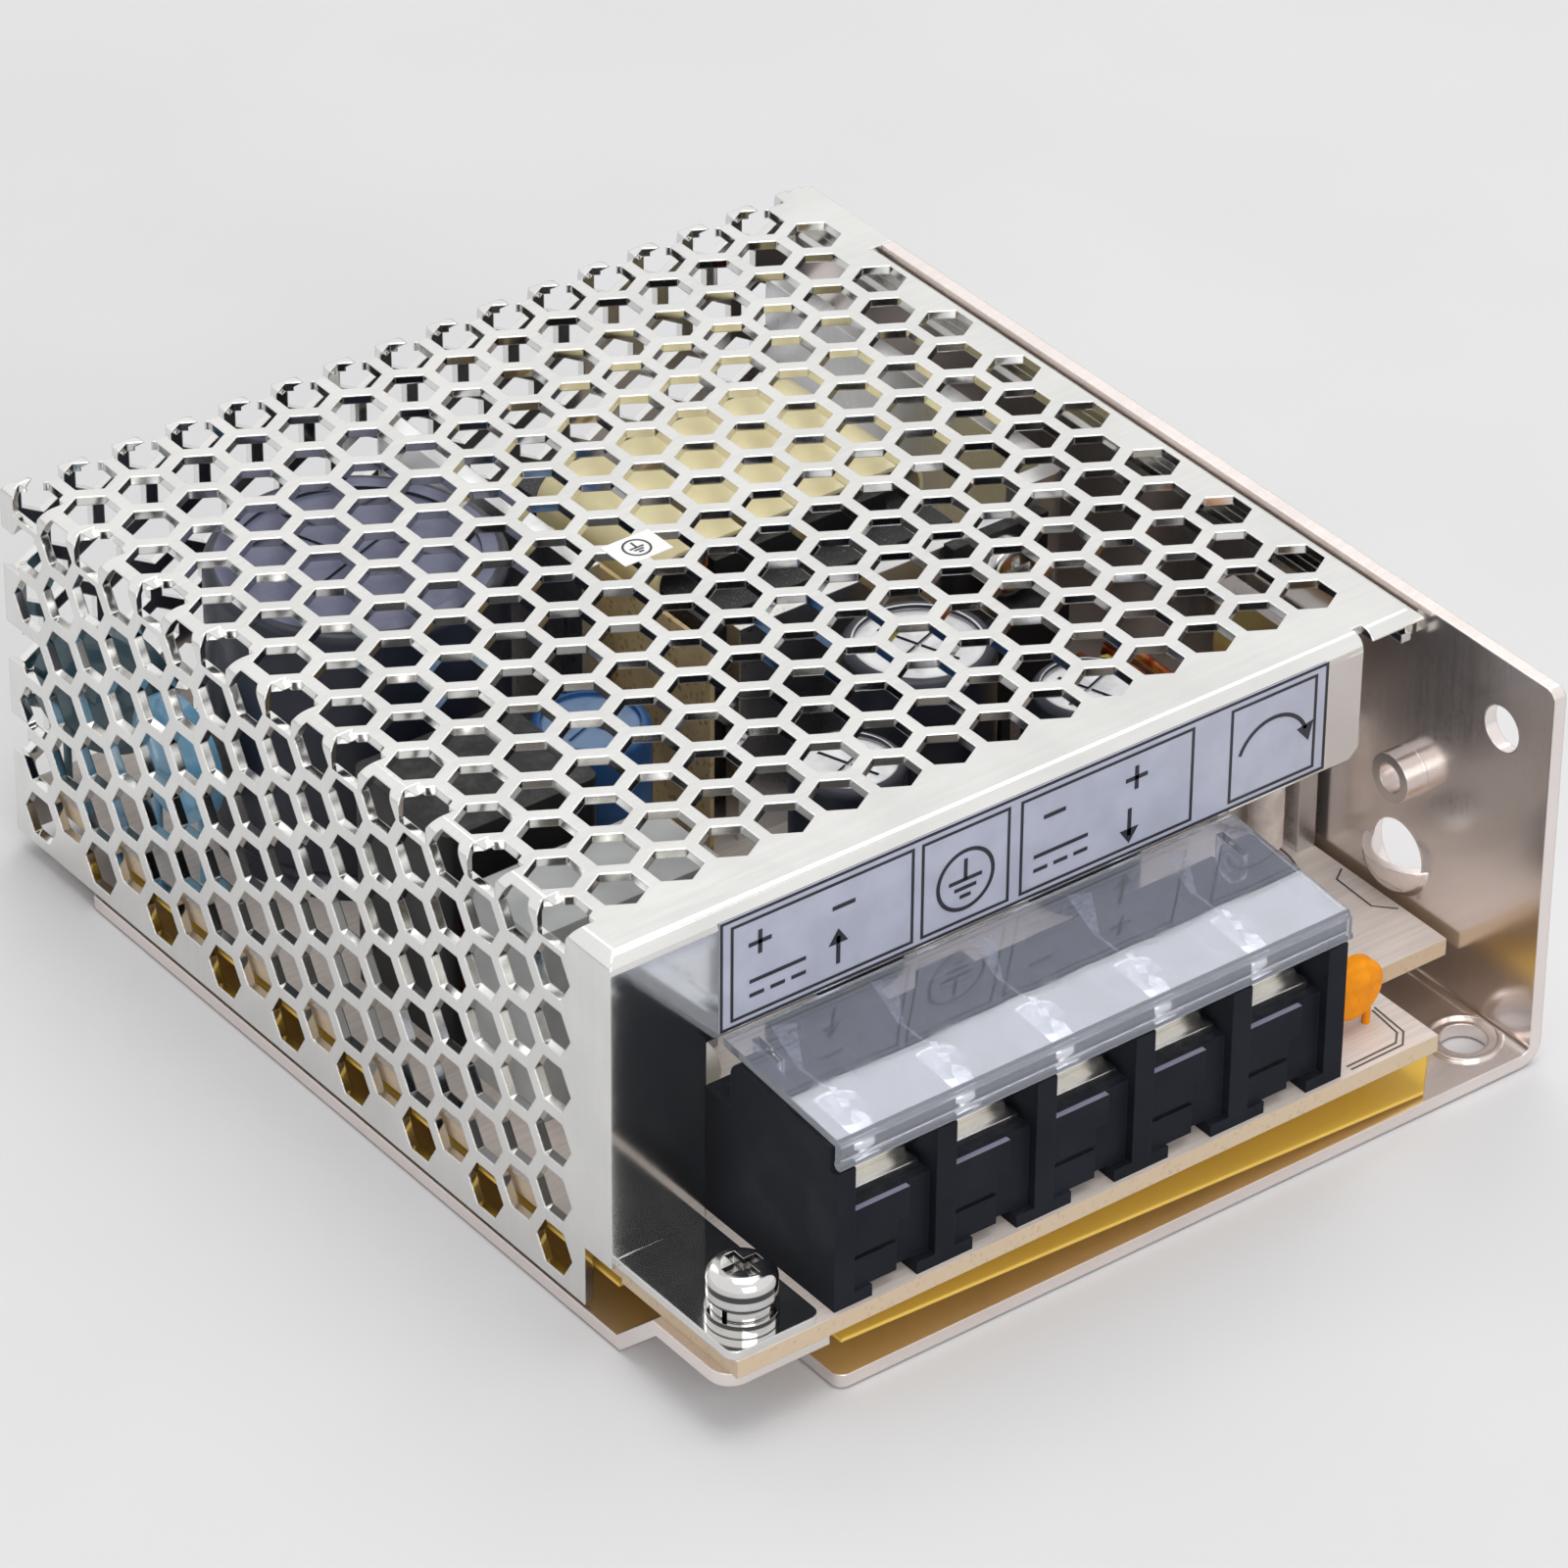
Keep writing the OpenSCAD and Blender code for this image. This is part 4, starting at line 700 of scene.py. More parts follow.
@dataclass(frozen=True, kw_only=True)
class Laminate(Finish):
    """Board laminate: a pale woven face and a browner sawn edge with fibres."""

    edge_colour: Colour
    tones: Point = (0.95, 1.04)
    thread_tones: Point = (0.86, 0.93)
    steps: Point = (0.0, 0.12)
    edge: float = 0.1
    fibre_dark: float = 0.85
    dust: float = 0.1
    dust_colour: Colour = srgb(190, 182, 170)
    thread: float = 0.4
    thread_stretch: Place = (0.05, 1.0, 1.0)

    def wire(self, net: Net) -> None:
        """Feed the finish's shader.

        Args:
            net: the material's net.
        """
        grain = Effects.use(net, Effect.MOULD_GRAIN, Grain=0.25, Flow=8.0)
        specks = Effects.use(net, Effect.SPECKLE, Size=0.6, Share=0.3)
        dust = Effects.use(net, Effect.DUST, Amount=self.dust)
        threads = net.noise(net.millimetres(self.thread_stretch), self.thread, 1.0)
        low = self.toned(net, grain["Flow"], self.thread_tones)
        woven = net.blend(net.ramp(threads, 0.35, 0.65), low, self.toned(net, grain["Flow"]))
        sawn = net.blend(specks["Mask"], self.edge_colour, shade(self.edge_colour, self.fibre_dark))
        both = net.blend(net.facing(Axis.Z, 0.4, 0.6), sawn, woven)
        colour = net.blend(dust["Mask"], both, self.dust_colour)
        self.cover(net, colour, self.gloss(net, grain["Flow"]), grain["Height"])


@dataclass(frozen=True, kw_only=True)
class ClearMoulding(Finish):
    """Clear moulded plastic, a little milky, with slow waves in its faces."""

    transmission: float
    index: float
    tint: Colour = (1.0, 1.0, 1.0)
    tones: Point = (1.0, 0.96)
    steps: Point = (0.0, 0.05)
    relief: Point = (0.15, 0.15)
    edge: float = 0.2
    wave_size: float = 6.0

    def wire(self, net: Net) -> None:
        """Feed the finish's shader.

        Args:
            net: the material's net.
        """
        haze = Effects.use(net, Effect.SMUDGE, Size=5.0)
        net.feed("Transmission Weight", self.transmission)
        net.feed("IOR", self.index)
        net.feed("Specular Tint", self.tint)
        waves = net.noise(net.millimetres(), self.wave_size, 1.0)
        self.cover(net, self.toned(net, haze["Mask"]), self.gloss(net, haze["Mask"]), waves)


@dataclass(frozen=True, kw_only=True)
class Printed(Finish):
    """Paper or ink on the case: even colour with a faint mottle."""

    tones: Point = (0.94, 1.06)
    relief: Point = (0.1, 0.01)

    def wire(self, net: Net) -> None:
        """Feed the finish's shader.

        Args:
            net: the material's net.
        """
        grain = Effects.use(net, Effect.MOULD_GRAIN, Grain=0.15, Flow=3.0)
        self.cover(net, self.toned(net, grain["Flow"]), self.gloss(net, grain["Flow"]), grain["Height"])


@dataclass(frozen=True, kw_only=True)
class PaintedGlint(Finish):
    """A pale patch under clear plastic, which lets part of the light through: a painted highlight."""

    alpha: float
    thin: float = 0.6
    tones: Point = (0.9, 1.0)
    steps: Point = (0.0, 0.1)
    relief: Point = (0.2, 0.02)

    def wire(self, net: Net) -> None:
        """Feed the finish's shader.

        Args:
            net: the material's net.
        """
        grain = Effects.use(net, Effect.MOULD_GRAIN, Grain=0.12, Flow=0.8)
        net.feed("Alpha", net.ramp(grain["Flow"], 0.0, 1.0, self.thin * self.alpha, self.alpha))
        colour = self.toned(net, grain["Flow"])
        self.cover(net, colour, self.gloss(net, grain["Height"], 0.3, 0.7), grain["Height"])


COVER_SHEET = PlatedSheet("cover_sheet", (0.82, 0.815, 0.795), 0.09)
CHASSIS_SHEET = PlatedSheet("chassis_sheet", (0.865, 0.792, 0.762), 0.2,
                            tones=(0.94, 1.0), relief=(0.008, 0.02), metal=0.9)
ALUMINIUM = PlatedSheet("sheared_aluminium", (0.82, 0.82, 0.83), 0.3, tones=(0.86, 1.0))
BRIGHT_SCREW = TurnedMetal("bright_screw", (0.80, 0.79, 0.78), 0.14)
# Its rings draw painted shade between the stacked washers.
EARTH_METAL = TurnedMetal("earth_metal", (0.70, 0.69, 0.68), 0.1, rings=1.25)
TINNED = TurnedMetal("tinned_brass", (0.84, 0.82, 0.78), 0.16)
# The block's pale lavender ledge colour is a painted highlight on its front ledges.
BLOCK_PLASTIC = Moulded("block_plastic", srgb(32, 35, 42), 0.5, specular=0.06,
                        ledge_highlight=srgb(150, 150, 172), ledge_highlight_z=(12.0, 17.5), ledge_highlight_y=-48.15)
BLACK_PLASTIC = Moulded("black_plastic", srgb(30, 30, 32), 0.42, dust=0.2)
IVORY = Moulded("ivory_plastic", srgb(232, 228, 218), 0.4, edge_wear_and_highlight=1.1)
GREY_BOX = Moulded("grey_box", srgb(188, 190, 190), 0.4, edge_wear_and_highlight=1.2)
CLEAR_LID = ClearMoulding("clear_lid", (0.86, 0.89, 0.98), 0.03,
                          transmission=0.9, index=1.78, tint=(0.90, 0.92, 1.0))
FILM = ClearMoulding("insulating_film", srgb(250, 208, 92), 0.3, transmission=0.08, index=1.4)
BOARD = Laminate("board_laminate", srgb(234, 222, 214), 0.5, edge_colour=srgb(210, 188, 160))
ORANGE_COAT = Dipped("orange_coat", srgb(252, 154, 28), 0.45, coat=0.0, specular=0.1)
LIGHT_BLUE_COAT = Dipped("light_blue_coat", srgb(110, 170, 205), 0.32)
TEAL_COAT = Dipped("teal_coat", srgb(58, 88, 98), 0.32)
CERAMIC_COAT = Dipped("ceramic_coat", srgb(226, 214, 206), 0.5, coat=0.0, specular=0.2)
FERRITE = Pressed("ferrite", srgb(48, 48, 50), 0.55, speck=srgb(90, 90, 92), speck_size=0.25)
RING_POWDER = Pressed("ring_powder", srgb(200, 190, 90), 0.5, speck=srgb(150, 140, 60), speck_size=0.3)
PAPER = Pressed("barrier_board", srgb(214, 188, 140), 0.7, speck=srgb(170, 140, 95), speck_size=0.7)
TAPE = Taped("yellow_tape", srgb(255, 240, 190), 0.28)
MAIN_WIRE = Wound("main_winding", srgb(196, 120, 66), 0.3, axis=Axis.Y, wire_d=0.55)
CHOKE_WIRE = Wound("choke_winding", srgb(206, 128, 74), 0.28, axis=Axis.Y, wire_d=0.6)
RING_WIRE = Wound("ring_winding", srgb(200, 122, 68), 0.28, axis=Axis.Z, wire_d=0.9)
STRIP_FILM = Printed("strip_film", srgb(184, 187, 204), 0.3)
STRIP_INK = Printed("strip_ink", srgb(38, 38, 48), 0.4)
STICKER = Printed("sticker_paper", srgb(240, 240, 238), 0.45, tones=(0.98, 1.02))
BOARD_INK = Printed("board_ink", srgb(92, 84, 80), 0.55)
BOARD_INK_RED = Printed("board_ink_red", srgb(190, 90, 84), 0.55)
# Pale patches under the clear cover: painted highlights and a fainter painted sheen.
GLINT_PATCH = PaintedGlint("rub_mark", (0.93, 0.93, 0.88), 0.5, alpha=0.9)
SHEEN_PATCH = PaintedGlint("rub_haze", (0.80, 0.82, 0.90), 0.5, alpha=0.4)


def dress(node: str, finish: Finish) -> None:
    """Give a CAD node its finish.

    Args:
        node: the node's name.
        finish: its finish.
    """
    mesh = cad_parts[node].data
    mesh.materials.clear()
    mesh.materials.append(finish.material())
    log.info("dressed %s as %s", node, finish.name)


def add_piece(name: str, mesh: bmesh.types.BMesh, finish: Finish, body: str = "case") -> None:
    """Turn a mesh into a piece that rides on a body.

    Args:
        name: the piece's name.
        mesh: the mesh, which is used up.
        finish: its finish.
        body: the body it rides on.
    """
    data = bpy.data.meshes.new(name)
    mesh.to_mesh(data)
    mesh.free()
    data.materials.append(finish.material())
    piece = bpy.data.objects.new(name, data)
    bpy.context.scene.collection.objects.link(piece)
    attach(piece, body)
    log.info("built %s with %d faces", name, len(data.polygons))


class Face(Enum):
    """The faces of the object that carry print."""

    LIP = "lip"
    TOP = "top"
    BOARD = "board"


@dataclass(frozen=True)
class Arc:
    """Part of a circle, from one angle to another in degrees, as a number of straight pieces."""

    centre: Point
    radius: float
    ends: Point = (0, 360)
    pieces: int = 48

    def points(self) -> list[Point]:
        """Give the points along the arc.

        Returns:
            The points, one more than there are pieces.
        """
        start, end = self.ends
        u, v = self.centre
        turns = [math.radians(start + (end - start) * i / self.pieces) for i in range(self.pieces + 1)]
        return [(u + self.radius * math.cos(t), v + self.radius * math.sin(t)) for t in turns]


@dataclass
class Ink:
    """Flat shapes on one face of the object, gathered into one mesh.

    Points are in millimetres: u from the case's left side, v up the lip or back from the front edge.
    """

    face: Face
    lift: float
    mesh: bmesh.types.BMesh = field(default_factory=bmesh.new)

    def place(self, u: float, v: float) -> Vector:
        """Give a point of the face.

        Args:
            u: distance from the case's left side.
            v: height on the lip, or distance from the front on the top and the board.

        Returns:
            The point in metres.
        """
        if self.face is Face.LIP:
            return corner(u, LIP_Y - self.lift, v)
        return corner(u, v, (CASE_H if self.face is Face.TOP else BOARD_TOP) + self.lift)

    def polygon(self, points: Sequence[Point]) -> None:
        """Add a filled outline, given anticlockwise as seen from outside."""
        self.mesh.faces.new([self.mesh.verts.new(self.place(u, v)) for u, v in points])

    def bar(self, u0: float, v0: float, u1: float, v1: float) -> None:
        """Add a filled rectangle between two corners."""
        self.polygon([(u0, v0), (u1, v0), (u1, v1), (u0, v1)])

    def block(self, u: float, v: float, wide: float, high: float) -> None:
        """Add a filled rectangle round a point, from half its width and half its height."""
        self.bar(u - wide, v - high, u + wide, v + high)

    def border(self, u0: float, v0: float, u1: float, v1: float, width: float) -> None:
        """Add the outline of a rectangle, drawn inwards.

        Args:
            u0: left side.
            v0: lower side.
            u1: right side.
            v1: upper side.
            width: the line's width.
        """
        self.bar(u0, v0, u1, v0 + width)
        self.bar(u0, v1 - width, u1, v1)
        self.bar(u0, v0 + width, u0 + width, v1 - width)
        self.bar(u1 - width, v0 + width, u1, v1 - width)

    def path(self, points: Sequence[Point], width: float) -> None:
        """Add a line through points.

        Args:
            points: the line's points.
            width: its width.
        """
        sides = []
        for i, (u, v) in enumerate(points):
            before = Vector(points[max(i - 1, 0)])
            after = Vector(points[min(i + 1, len(points) - 1)])
            along = (after - before).normalized()
            off = Vector((-along.y, along.x)) * width / 2
            sides.append((self.mesh.verts.new(self.place(u + off.x, v + off.y)),
                          self.mesh.verts.new(self.place(u - off.x, v - off.y))))
        for (a, b), (c, d) in zip(sides, sides[1:]):
            self.mesh.faces.new((b, d, c, a))

    def earth_sign(self, centre: Point, size: float, width: float) -> None:
        """Add the common earth sign: a stem over three bars, in a ring.

        Args:
            centre: the ring's centre.
            size: the ring's radius.
            width: the line's width.
        """
        u, v = centre
        self.path(Arc(centre, size).points(), width)
        self.bar(u - width / 2, v, u + width / 2, v + 0.72 * size)
        for level, half in ((0.0, 0.6), (-0.28, 0.4), (-0.56, 0.2)):
            self.block(u, v + level * size, half * size, width / 2)

    def thicken(self, depth: float) -> None:
        """Give the shapes a thickness towards the face that carries them.

        Args:
            depth: the thickness in millimetres.
        """
        self.mesh.normal_update()
        made = bmesh.ops.extrude_face_region(self.mesh, geom=self.mesh.faces[:])
        moved = [v for v in made["geom"] if isinstance(v, bmesh.types.BMVert)]
        away = Vector((0, -1, 0)) if self.face is Face.LIP else Vector((0, 0, 1))
        bmesh.ops.translate(self.mesh, verts=moved, vec=away * depth * MM)
        bmesh.ops.translate(self.mesh, verts=self.mesh.verts[:], vec=-away * depth * MM)
        bmesh.ops.recalc_face_normals(self.mesh, faces=self.mesh.faces[:])

    def finish(self, name: str, finish: Finish, slot: str) -> None:
        """Turn the gathered shapes into a piece of the case."""
        add_piece(name, self.mesh, finish)


@dataclass(frozen=True)
class Lamp:
    """A soft square lamp that points at the case: place and side in metres, power in watts."""

    name: str
    place: Place
    side: float
    power: float

    def hang(self) -> None:
        """Hang the lamp at its place."""
        data = bpy.data.lights.new(self.name, "AREA")
        data.size = self.side
        data.energy = self.power
        lamp = bpy.data.objects.new(self.name, data)
        lamp.location = self.place
        lamp.rotation_euler = (-Vector(self.place)).to_track_quat("-Z", "Y").to_euler()
        bpy.context.scene.collection.objects.link(lamp)


@dataclass
class Studio:
    """The pale floor, the soft light and the camera at the photograph's angle.

    The camera's angles are in degrees, its distance, shift and pivot in millimetres of the case.
    """

    azimuth: float = -37.565
    elevation: float = 34.385
    roll: float = -0.525
    shift: Point = (4.600, 3.725)
    distance: float = 655.574
    pivot: Place = (48.5, 49.5, 18.0)
    lens: float = 184.555
    sensor: float = 36.0
    near: float = 0.01
    floor_half: float = 6.0
    floor_drop: float = 0.0002
    floor_cloud: float = 40.0
    floor_greys: tuple[Colour, Colour] = ((0.72, 0.72, 0.73), (0.74, 0.74, 0.75))
    floor_rough: float = 0.9
    floor_specular: float = 0.1
    ambient: float = 0.55
    lamps: tuple[Lamp, ...] = (
        Lamp("back_lamp", (0.394, 0.427, 0.814), 0.43, 1.35),
        Lamp("front_lamp", (-0.22, -0.87, 0.46), 0.6, 3.0),
        Lamp("top_lamp", (0.05, -0.05, 0.95), 0.6, 3.3))

    def build(self) -> None:
        """Build the floor, the light and the camera."""
        self.floor()
        self.light()
        self.camera()

    def floor(self) -> None:
        """Lay a plain pale floor under the case."""
        mesh = bpy.data.meshes.new("floor")
        h = self.floor_half
        mesh.from_pydata([(-h, -h, 0), (h, -h, 0), (h, h, 0), (-h, h, 0)], [], [(0, 1, 2, 3)])
        made, net = new_material("floor_paper")
        cloud = net.noise(net.millimetres(), self.floor_cloud, 2.0)
        net.feed("Base Color", net.blend(net.ramp(cloud, 0.3, 0.7), *self.floor_greys))
        net.feed("Roughness", self.floor_rough)
        net.feed("Specular IOR Level", self.floor_specular)
        mesh.materials.append(made)
        floor = bpy.data.objects.new("floor", mesh)
        floor.location.z = -self.floor_drop
        bpy.context.scene.collection.objects.link(floor)

    def light(self) -> None:
        """Set the even surroundings, which look white to the camera and in metal, and the soft lamps."""
        world = bpy.data.worlds.new("studio")
        bpy.context.scene.world = world
        world.use_nodes = True
        world.node_tree.nodes.clear()
        net = Net(world.node_tree)
        path = net.add("LightPath")
        mirrored = net.math("MAXIMUM", path.outputs["Is Glossy Ray"], path.outputs["Is Transmission Ray"])
        seen = net.math("MAXIMUM", path.outputs["Is Camera Ray"], mirrored)
        strength = net.ramp(seen, 0.0, 1.0, self.ambient, 1.0)
        back = net.add("Background", {"Color": (1.0, 1.0, 1.0), "Strength": strength})
        net.add("OutputWorld", {"Surface": back.outputs[0]})
        for lamp in self.lamps:
            lamp.hang()

    def camera(self) -> None:
        """Set the camera that the photograph was taken from."""
        az, el, roll = (math.radians(a) for a in (self.azimuth, self.elevation, self.roll))
        back = Vector((math.sin(az) * math.cos(el), -math.cos(az) * math.cos(el), math.sin(el)))
        level = Vector((0, 0, 1)).cross(back).normalized()
        upright = back.cross(level)
        right = math.cos(roll) * level - math.sin(roll) * upright
        up = math.sin(roll) * level + math.cos(roll) * upright
        data = bpy.data.cameras.new("camera")
        data.sensor_width = self.sensor
        data.sensor_fit = "HORIZONTAL"
        data.lens = self.lens
        data.clip_start = self.near
        camera = bpy.data.objects.new("camera", data)
        turn = Matrix((right, up, back)).transposed()
        offset = (-self.shift[0] * right - self.shift[1] * up + self.distance * back) * MM
        camera.matrix_world = Matrix.Translation(corner(*self.pivot) + offset) @ turn.to_4x4()
        bpy.context.scene.collection.objects.link(camera)
        bpy.context.scene.camera = camera
        bpy.context.scene.view_settings.view_transform = "Standard"


@dataclass
class CaseShell:
    """The folded cover with its sticker, the chassis and the film under the board."""

    sticker: tuple[float, float, float, float] = (33.2, 58.2, 38.0, 61.6)
    sticker_t: float = 0.06
    ink_lift: float = 0.02
    sign_r: float = 1.15
    sign_line: float = 0.2

    def build(self) -> None:
        """Build the small sticker on the top."""
        paper = Ink(Face.TOP, self.sticker_t)
        paper.bar(*self.sticker)
        paper.thicken(self.sticker_t)
        paper.finish("top_sticker", STICKER, "cover_steel")
        ink = Ink(Face.TOP, self.sticker_t + self.ink_lift)
        u0, v0, u1, v1 = self.sticker
        ink.earth_sign(((u0 + u1) / 2, (v0 + v1) / 2), self.sign_r, self.sign_line)
        ink.finish("top_sticker_sign", STRIP_INK, "cover_steel")

    def dress(self) -> None:
        """Finish the sheets and the film."""
        dress("case_cover", COVER_SHEET)
        dress("chassis", CHASSIS_SHEET)
        dress("insulation_sheet", FILM)


class Way(Enum):
    """The ways the current's arrows point on the lip: up, into the case, or down, out of it."""

    UP = 1
    DOWN = -1


@dataclass
class PrintedStrip:
    """The printed strip on the cover's lip, with common signs only.

    Places are in millimetres from the case's left side and over its underside.
    """

    x0: float = 10.2
    x1: float = 70.3
    z0: float = 25.1
    z1: float = 35.3
    film_t: float = 0.08
    ink_lift: float = 0.03
    line: float = 0.28
    boxes: tuple[Point, ...] = ((11.2, 28.8), (29.5, 38.2), (39.2, 56.6), (60.3, 69.2))
    box_z: Point = (25.7, 34.6)
    plus_x: Point = (14.0, 50.8)
    minus_x: Point = (22.0, 42.6)
    pole_z: float = 32.2
    pole_half: Point = (1.1, 0.2)
    current_x: Point = (13.0, 40.6)
    current_z: float = 28.6
    current_w: float = 5.4
    dash_w: float = 1.4
    dash_step: float = 2.0
    dash_drop: float = 1.3
    inward_x: float = 21.5
    outward_x: float = 50.2
    pointer_z: float = 28.2
    shaft_half: Point = (0.2, 1.3)
    head_half: float = 0.95
    head_z: Point = (0.6, 2.0)
    earth: Point = (33.85, 29.6)
    earth_r: float = 2.7
    turn: Arc = Arc((64.75, 28.6), 3.6, (160, 20))
    turn_head: Outline = ((-0.9, 0.2), (0.35, -1.3), (0.8, 0.55))
    bold: float = 0.36

    def build(self) -> None:
        """Build the strip and its print."""
        film = Ink(Face.LIP, self.film_t)
        film.bar(self.x0, self.z0, self.x1, self.z1)
        film.thicken(self.film_t)
        film.finish("lip_strip", STRIP_FILM, "cover_steel")
        ink = Ink(Face.LIP, self.film_t + self.ink_lift)
        ink.border(self.x0, self.z0, self.x1, self.z1, self.line)
        for u0, u1 in self.boxes:
            ink.border(u0, self.box_z[0], u1, self.box_z[1], self.line)
        for plus, minus in zip(self.plus_x, self.minus_x):
            ink.block(plus, self.pole_z, *self.pole_half)
            ink.block(plus, self.pole_z, *self.pole_half[::-1])
            ink.block(minus, self.pole_z, *self.pole_half)
        for start in self.current_x:
            self.direct_current(ink, start)
        self.pointer(ink, self.inward_x, Way.UP)
        self.pointer(ink, self.outward_x, Way.DOWN)
        ink.earth_sign(self.earth, self.earth_r, self.bold)
        self.turning_arrow(ink)
        ink.finish("lip_strip_signs", STRIP_INK, "cover_steel")

    def direct_current(self, ink: Ink, u: float) -> None:
        """Draw the direct-current sign: a bar over three dashes.

        Args:
            ink: the print it goes to.
            u: its left end.
        """
        bar, low = self.current_z, self.current_z - self.dash_drop
        ink.bar(u, bar, u + self.current_w, bar + self.bold)
        for start in (u + self.dash_step * i for i in range(3)):
            ink.bar(start, low, start + self.dash_w, low + self.bold)

    def pointer(self, ink: Ink, u: float, way: Way) -> None:
        """Draw a plain arrow that says which way the current goes.

        Args:
            ink: the print it goes to.
            u: its middle.
            way: where it points.
        """
        ink.block(u, self.pointer_z, *self.shaft_half)
        foot, tip = (self.pointer_z + way.value * z for z in self.head_z)
        points = [(u - self.head_half, foot), (u + self.head_half, foot), (u, tip)]
        ink.polygon(points if way is Way.UP else points[::-1])

    def turning_arrow(self, ink: Ink) -> None:
        """Draw the bent arrow over the trimmer.

        Args:
            ink: the print it goes to.
        """
        points = self.turn.points()
        ink.path(points, self.bold)
        u, v = points[-1]
        ink.polygon([(u + across, v + up) for across, up in self.turn_head])


@dataclass
class EarthPoint:
    """The earth screw with its washers, and the screws that hold the board."""

    def dress(self) -> None:
        """Finish the screws and the washers."""
        dress("ground_screw", EARTH_METAL)
        dress("ground_washers", EARTH_METAL)
        dress("board_screws", BRIGHT_SCREW)


@dataclass
class TerminalRow:
    """The barrier block with its plates, clamps and screws."""

    poles: int = 5

    def dress(self) -> None:
        """Finish the block and its metal parts."""
        dress("terminal_block", BLOCK_PLASTIC)
        dress("terminal_plates", TINNED)
        for i in range(1, self.poles + 1):
            dress(f"clamp_{i}", TINNED)
            dress(f"terminal_screw_{i}", BRIGHT_SCREW)


@dataclass
class ClearLid:
    """The clear cover that swings over the terminals, with painted highlights under it where the barriers
    meet it.

    The highlights' outlines are in millimetres from a barrier's middle and from the case's front edge.
    """

    front_z: float = 22.7
    rise: float = 1.3
    depth: float = 14.85
    under: float = 0.06
    first: float = 13.4
    pitch: float = 9.65
    count: int = 5
    # Outlines of the painted highlights, and of the fainter painted sheen behind them.
    marks: tuple[Outline, ...] = (
        ((-0.5, 1.2), (0.8, 0.9), (1.1, 2.5), (0.5, 3.3), (-0.2, 2.5)),
        ((0.0, 3.9), (0.6, 3.6), (1.0, 4.5), (0.3, 5.0)),
        ((0.4, 5.4), (0.8, 5.2), (1.1, 6.0), (0.6, 6.4)))
    sheens: tuple[Outline, ...] = (
        ((0.2, 6.4), (0.5, 6.4), (0.3, 9.2), (0.0, 9.2)),
        ((-0.1, 9.2), (0.4, 9.2), (3.1, 13.6), (1.2, 14.4)))

    def spot(self, x: float, y: float) -> Vector:
        """Give a point just under the cover's underside."""
        return corner(x, y, self.front_z + self.rise * y / self.depth - self.under)

    def add_glints(self, name: str, outlines: tuple[Outline, ...], finish: Finish) -> None:
        """Build one kind of painted highlight at each barrier.

        Args:
            name: the piece's name.
            outlines: the highlight patches at one barrier.
            finish: the patches' finish.
        """
        mesh = bmesh.new()
        for i in range(self.count):
            x = self.first + self.pitch * i
            for outline in outlines:
                mesh.faces.new([mesh.verts.new(self.spot(x + u, v)) for u, v in outline])
        add_piece(name, mesh, finish, "clear_cover")

    def build(self) -> None:
        """Build the painted highlights under the cover."""
        self.add_glints("cover_painted_glints", self.marks, GLINT_PATCH)
        self.add_glints("cover_painted_sheen", self.sheens, SHEEN_PATCH)

    def dress(self) -> None:
        """Finish the clear cover."""
        dress("terminal_cover", CLEAR_LID)


@dataclass
class FrontBoard:
    """The board with the trimmer and the disc beside the block, and its print.

    Places are in millimetres from the case's left side and from its front edge.
    """

    lift: float = 0.02
    line: float = 0.2
    tracks: tuple[Outline, ...] = (
        ((68.8, 5.9), (68.4, 2.4), (67.4, 1.4), (62.2, 1.3)),
        ((69.2, 6.1), (68.9, 2.2), (67.7, 0.9), (62.2, 0.8)),
        ((79.7, 22.4), (78.4, 21.5), (78.2, 16.9), (79.7, 15.3)))
    bow: Arc = Arc((70.9, 27.6), 6.6, (45, -60), 32)
    ring: Arc = Arc((69.4, 22.0), 4.4, (20, 340), 36)
    trimmer: tuple[float, float, float, float] = (61.4, 7.9, 68.6, 15.0)
    ticks: int = 4
    tick: Point = (74.0, 29.0)
    tick_step: Point = (1.1, 1.0)
    tick_line: float = 0.3
    tick_lengths: Point = (0.7, 0.9)
    tick_gap: float = 1.2

    def build(self) -> None:
        """Build the board's printed outlines."""
        ink = Ink(Face.BOARD, self.lift)
        for track in (*self.tracks, self.bow.points(), self.ring.points()):
            ink.path(track, self.line)
        ink.border(*self.trimmer, self.line)
        ink.finish("board_print", BOARD_INK, "board")
        red = Ink(Face.BOARD, self.lift)
        for i in range(self.ticks):
            u = self.tick[0] + self.tick_step[0] * i
            for row, length in enumerate(self.tick_lengths):
                v = self.tick[1] + self.tick_step[1] * i + self.tick_gap * row
                red.bar(u, v, u + length, v + self.tick_line)
        red.finish("board_print_red", BOARD_INK_RED, "board")

    def dress(self) -> None:
        """Finish the board and the parts at its front."""
        dress("circuit_board", BOARD)
        dress("trimmer_body", BLACK_PLASTIC)
        dress("trimmer_rotor", IVORY)
        dress("disc_capacitor", ORANGE_COAT)


@dataclass(frozen=True)
class Can:
    """How a round capacitor looks: its sleeve, and its top's colour, metal and share of the radius."""

    sleeve: Colour
    top: Colour
    metal: float
    share: float
    roughness: float = 0.35

    def dress(self, node: str) -> None:
        """Finish a capacitor's node, with the top's place taken from the frame.

        Args:
            node: the node's name.
        """
        low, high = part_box(node)
        centre = ((low[0] + high[0]) / 2 / MM, (low[1] + high[1]) / 2 / MM)
        radius = (high[0] - low[0]) / 2 / MM
        dress(node, Sleeved(f"{node}_sleeve", self.sleeve, self.roughness, top=self.top,
                            top_metal=self.metal, top_share=self.share, centre=centre, radius=radius))


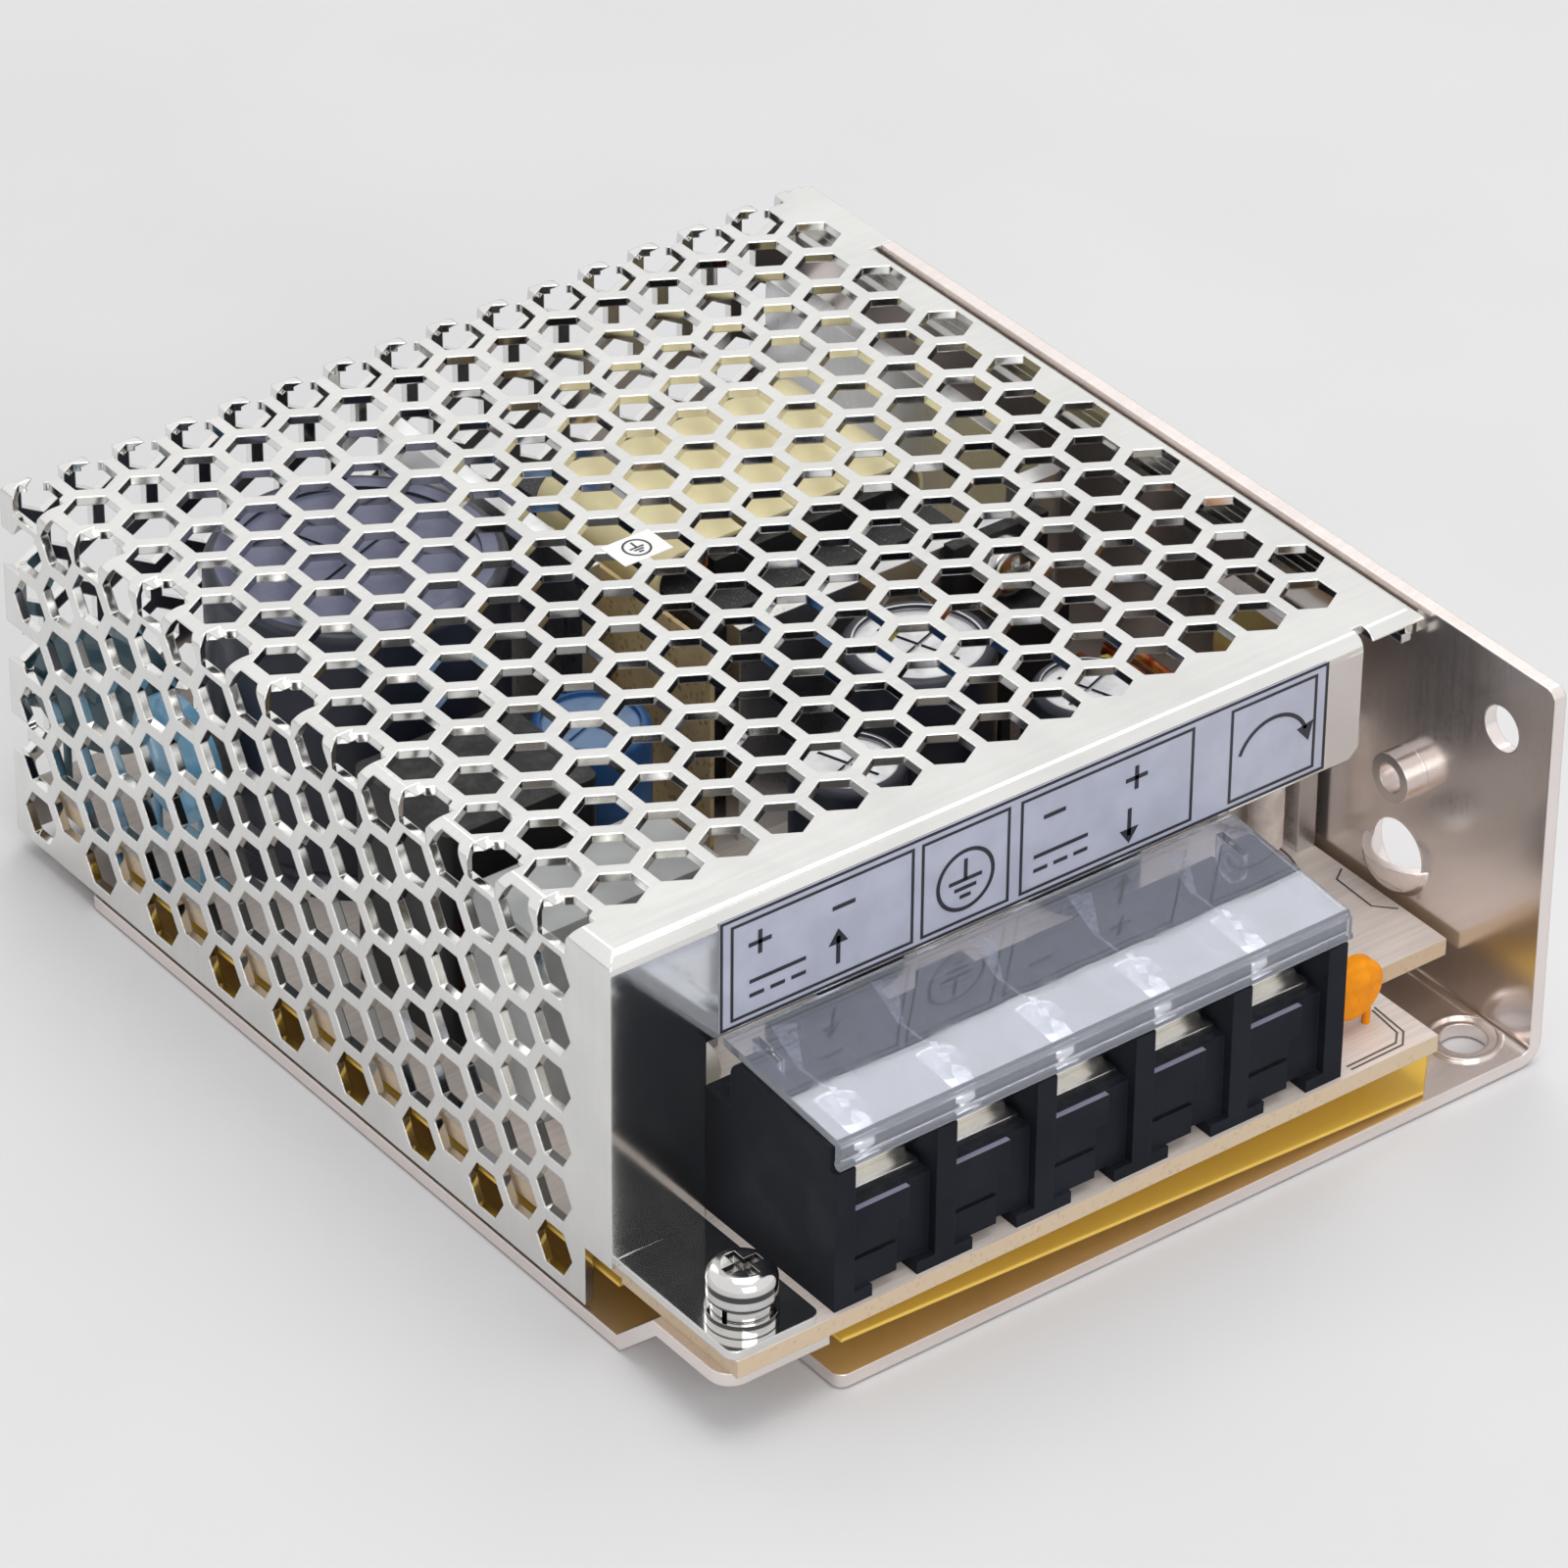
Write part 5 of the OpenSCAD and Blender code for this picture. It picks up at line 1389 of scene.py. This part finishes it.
BULK_CAN = Can(srgb(38, 42, 56), srgb(106, 109, 134), 0.0, 0.93)
BLUE_CAN = Can(srgb(40, 92, 150), srgb(120, 150, 190), 0.0, 0.8)
OUTPUT_CAN = Can(srgb(38, 42, 56), (0.75, 0.75, 0.77), 1.0, 0.86)


@dataclass
class InnerParts:
    """What shows through the holes of the cover."""

    plain: dict[str, Finish] = field(default_factory=lambda: {
        "primary_heatsink": ALUMINIUM, "output_heatsink": ALUMINIUM, "switch_transistor": BLACK_PLASTIC,
        "output_rectifier": BLACK_PLASTIC, "heatsink_screws": BRIGHT_SCREW, "transformer_core": FERRITE,
        "transformer_winding": MAIN_WIRE, "transformer_bobbin": BLACK_PLASTIC, "transformer_tape": TAPE,
        "barrier_paper": PAPER, "filter_choke_case": BLACK_PLASTIC, "filter_choke_winding": CHOKE_WIRE,
        "toroid_core": RING_POWDER, "toroid_winding": RING_WIRE, "box_capacitor": GREY_BOX,
        "safety_capacitor": LIGHT_BLUE_COAT, "surge_varistor": TEAL_COAT, "bridge_rectifier": BLACK_PLASTIC,
        "line_fuse": IVORY, "controller_chip": BLACK_PLASTIC, "opto_coupler": BLACK_PLASTIC,
        "power_resistors": CERAMIC_COAT, "side_plate": ALUMINIUM,
    })
    outputs: int = 3

    def dress(self) -> None:
        """Finish each inner part."""
        for node, finish in self.plain.items():
            dress(node, finish)
        BULK_CAN.dress("bulk_capacitor")
        BLUE_CAN.dress("blue_capacitor")
        for i in range(1, self.outputs + 1):
            OUTPUT_CAN.dress(f"output_capacitor_{i}")


def main() -> None:
    """Build and dress the power supply, part by part."""
    logging.basicConfig(level=logging.INFO, format="%(name)s: %(message)s")
    Studio().build()
    case = CaseShell()
    lid = ClearLid()
    board = FrontBoard()
    for part in (case, PrintedStrip(), lid, board):
        part.build()
        log.info("built %s", type(part).__name__)
    for part in (case, EarthPoint(), TerminalRow(), lid, board, InnerParts()):
        part.dress()
        log.info("dressed %s", type(part).__name__)


if __name__ == "__main__":
    main()
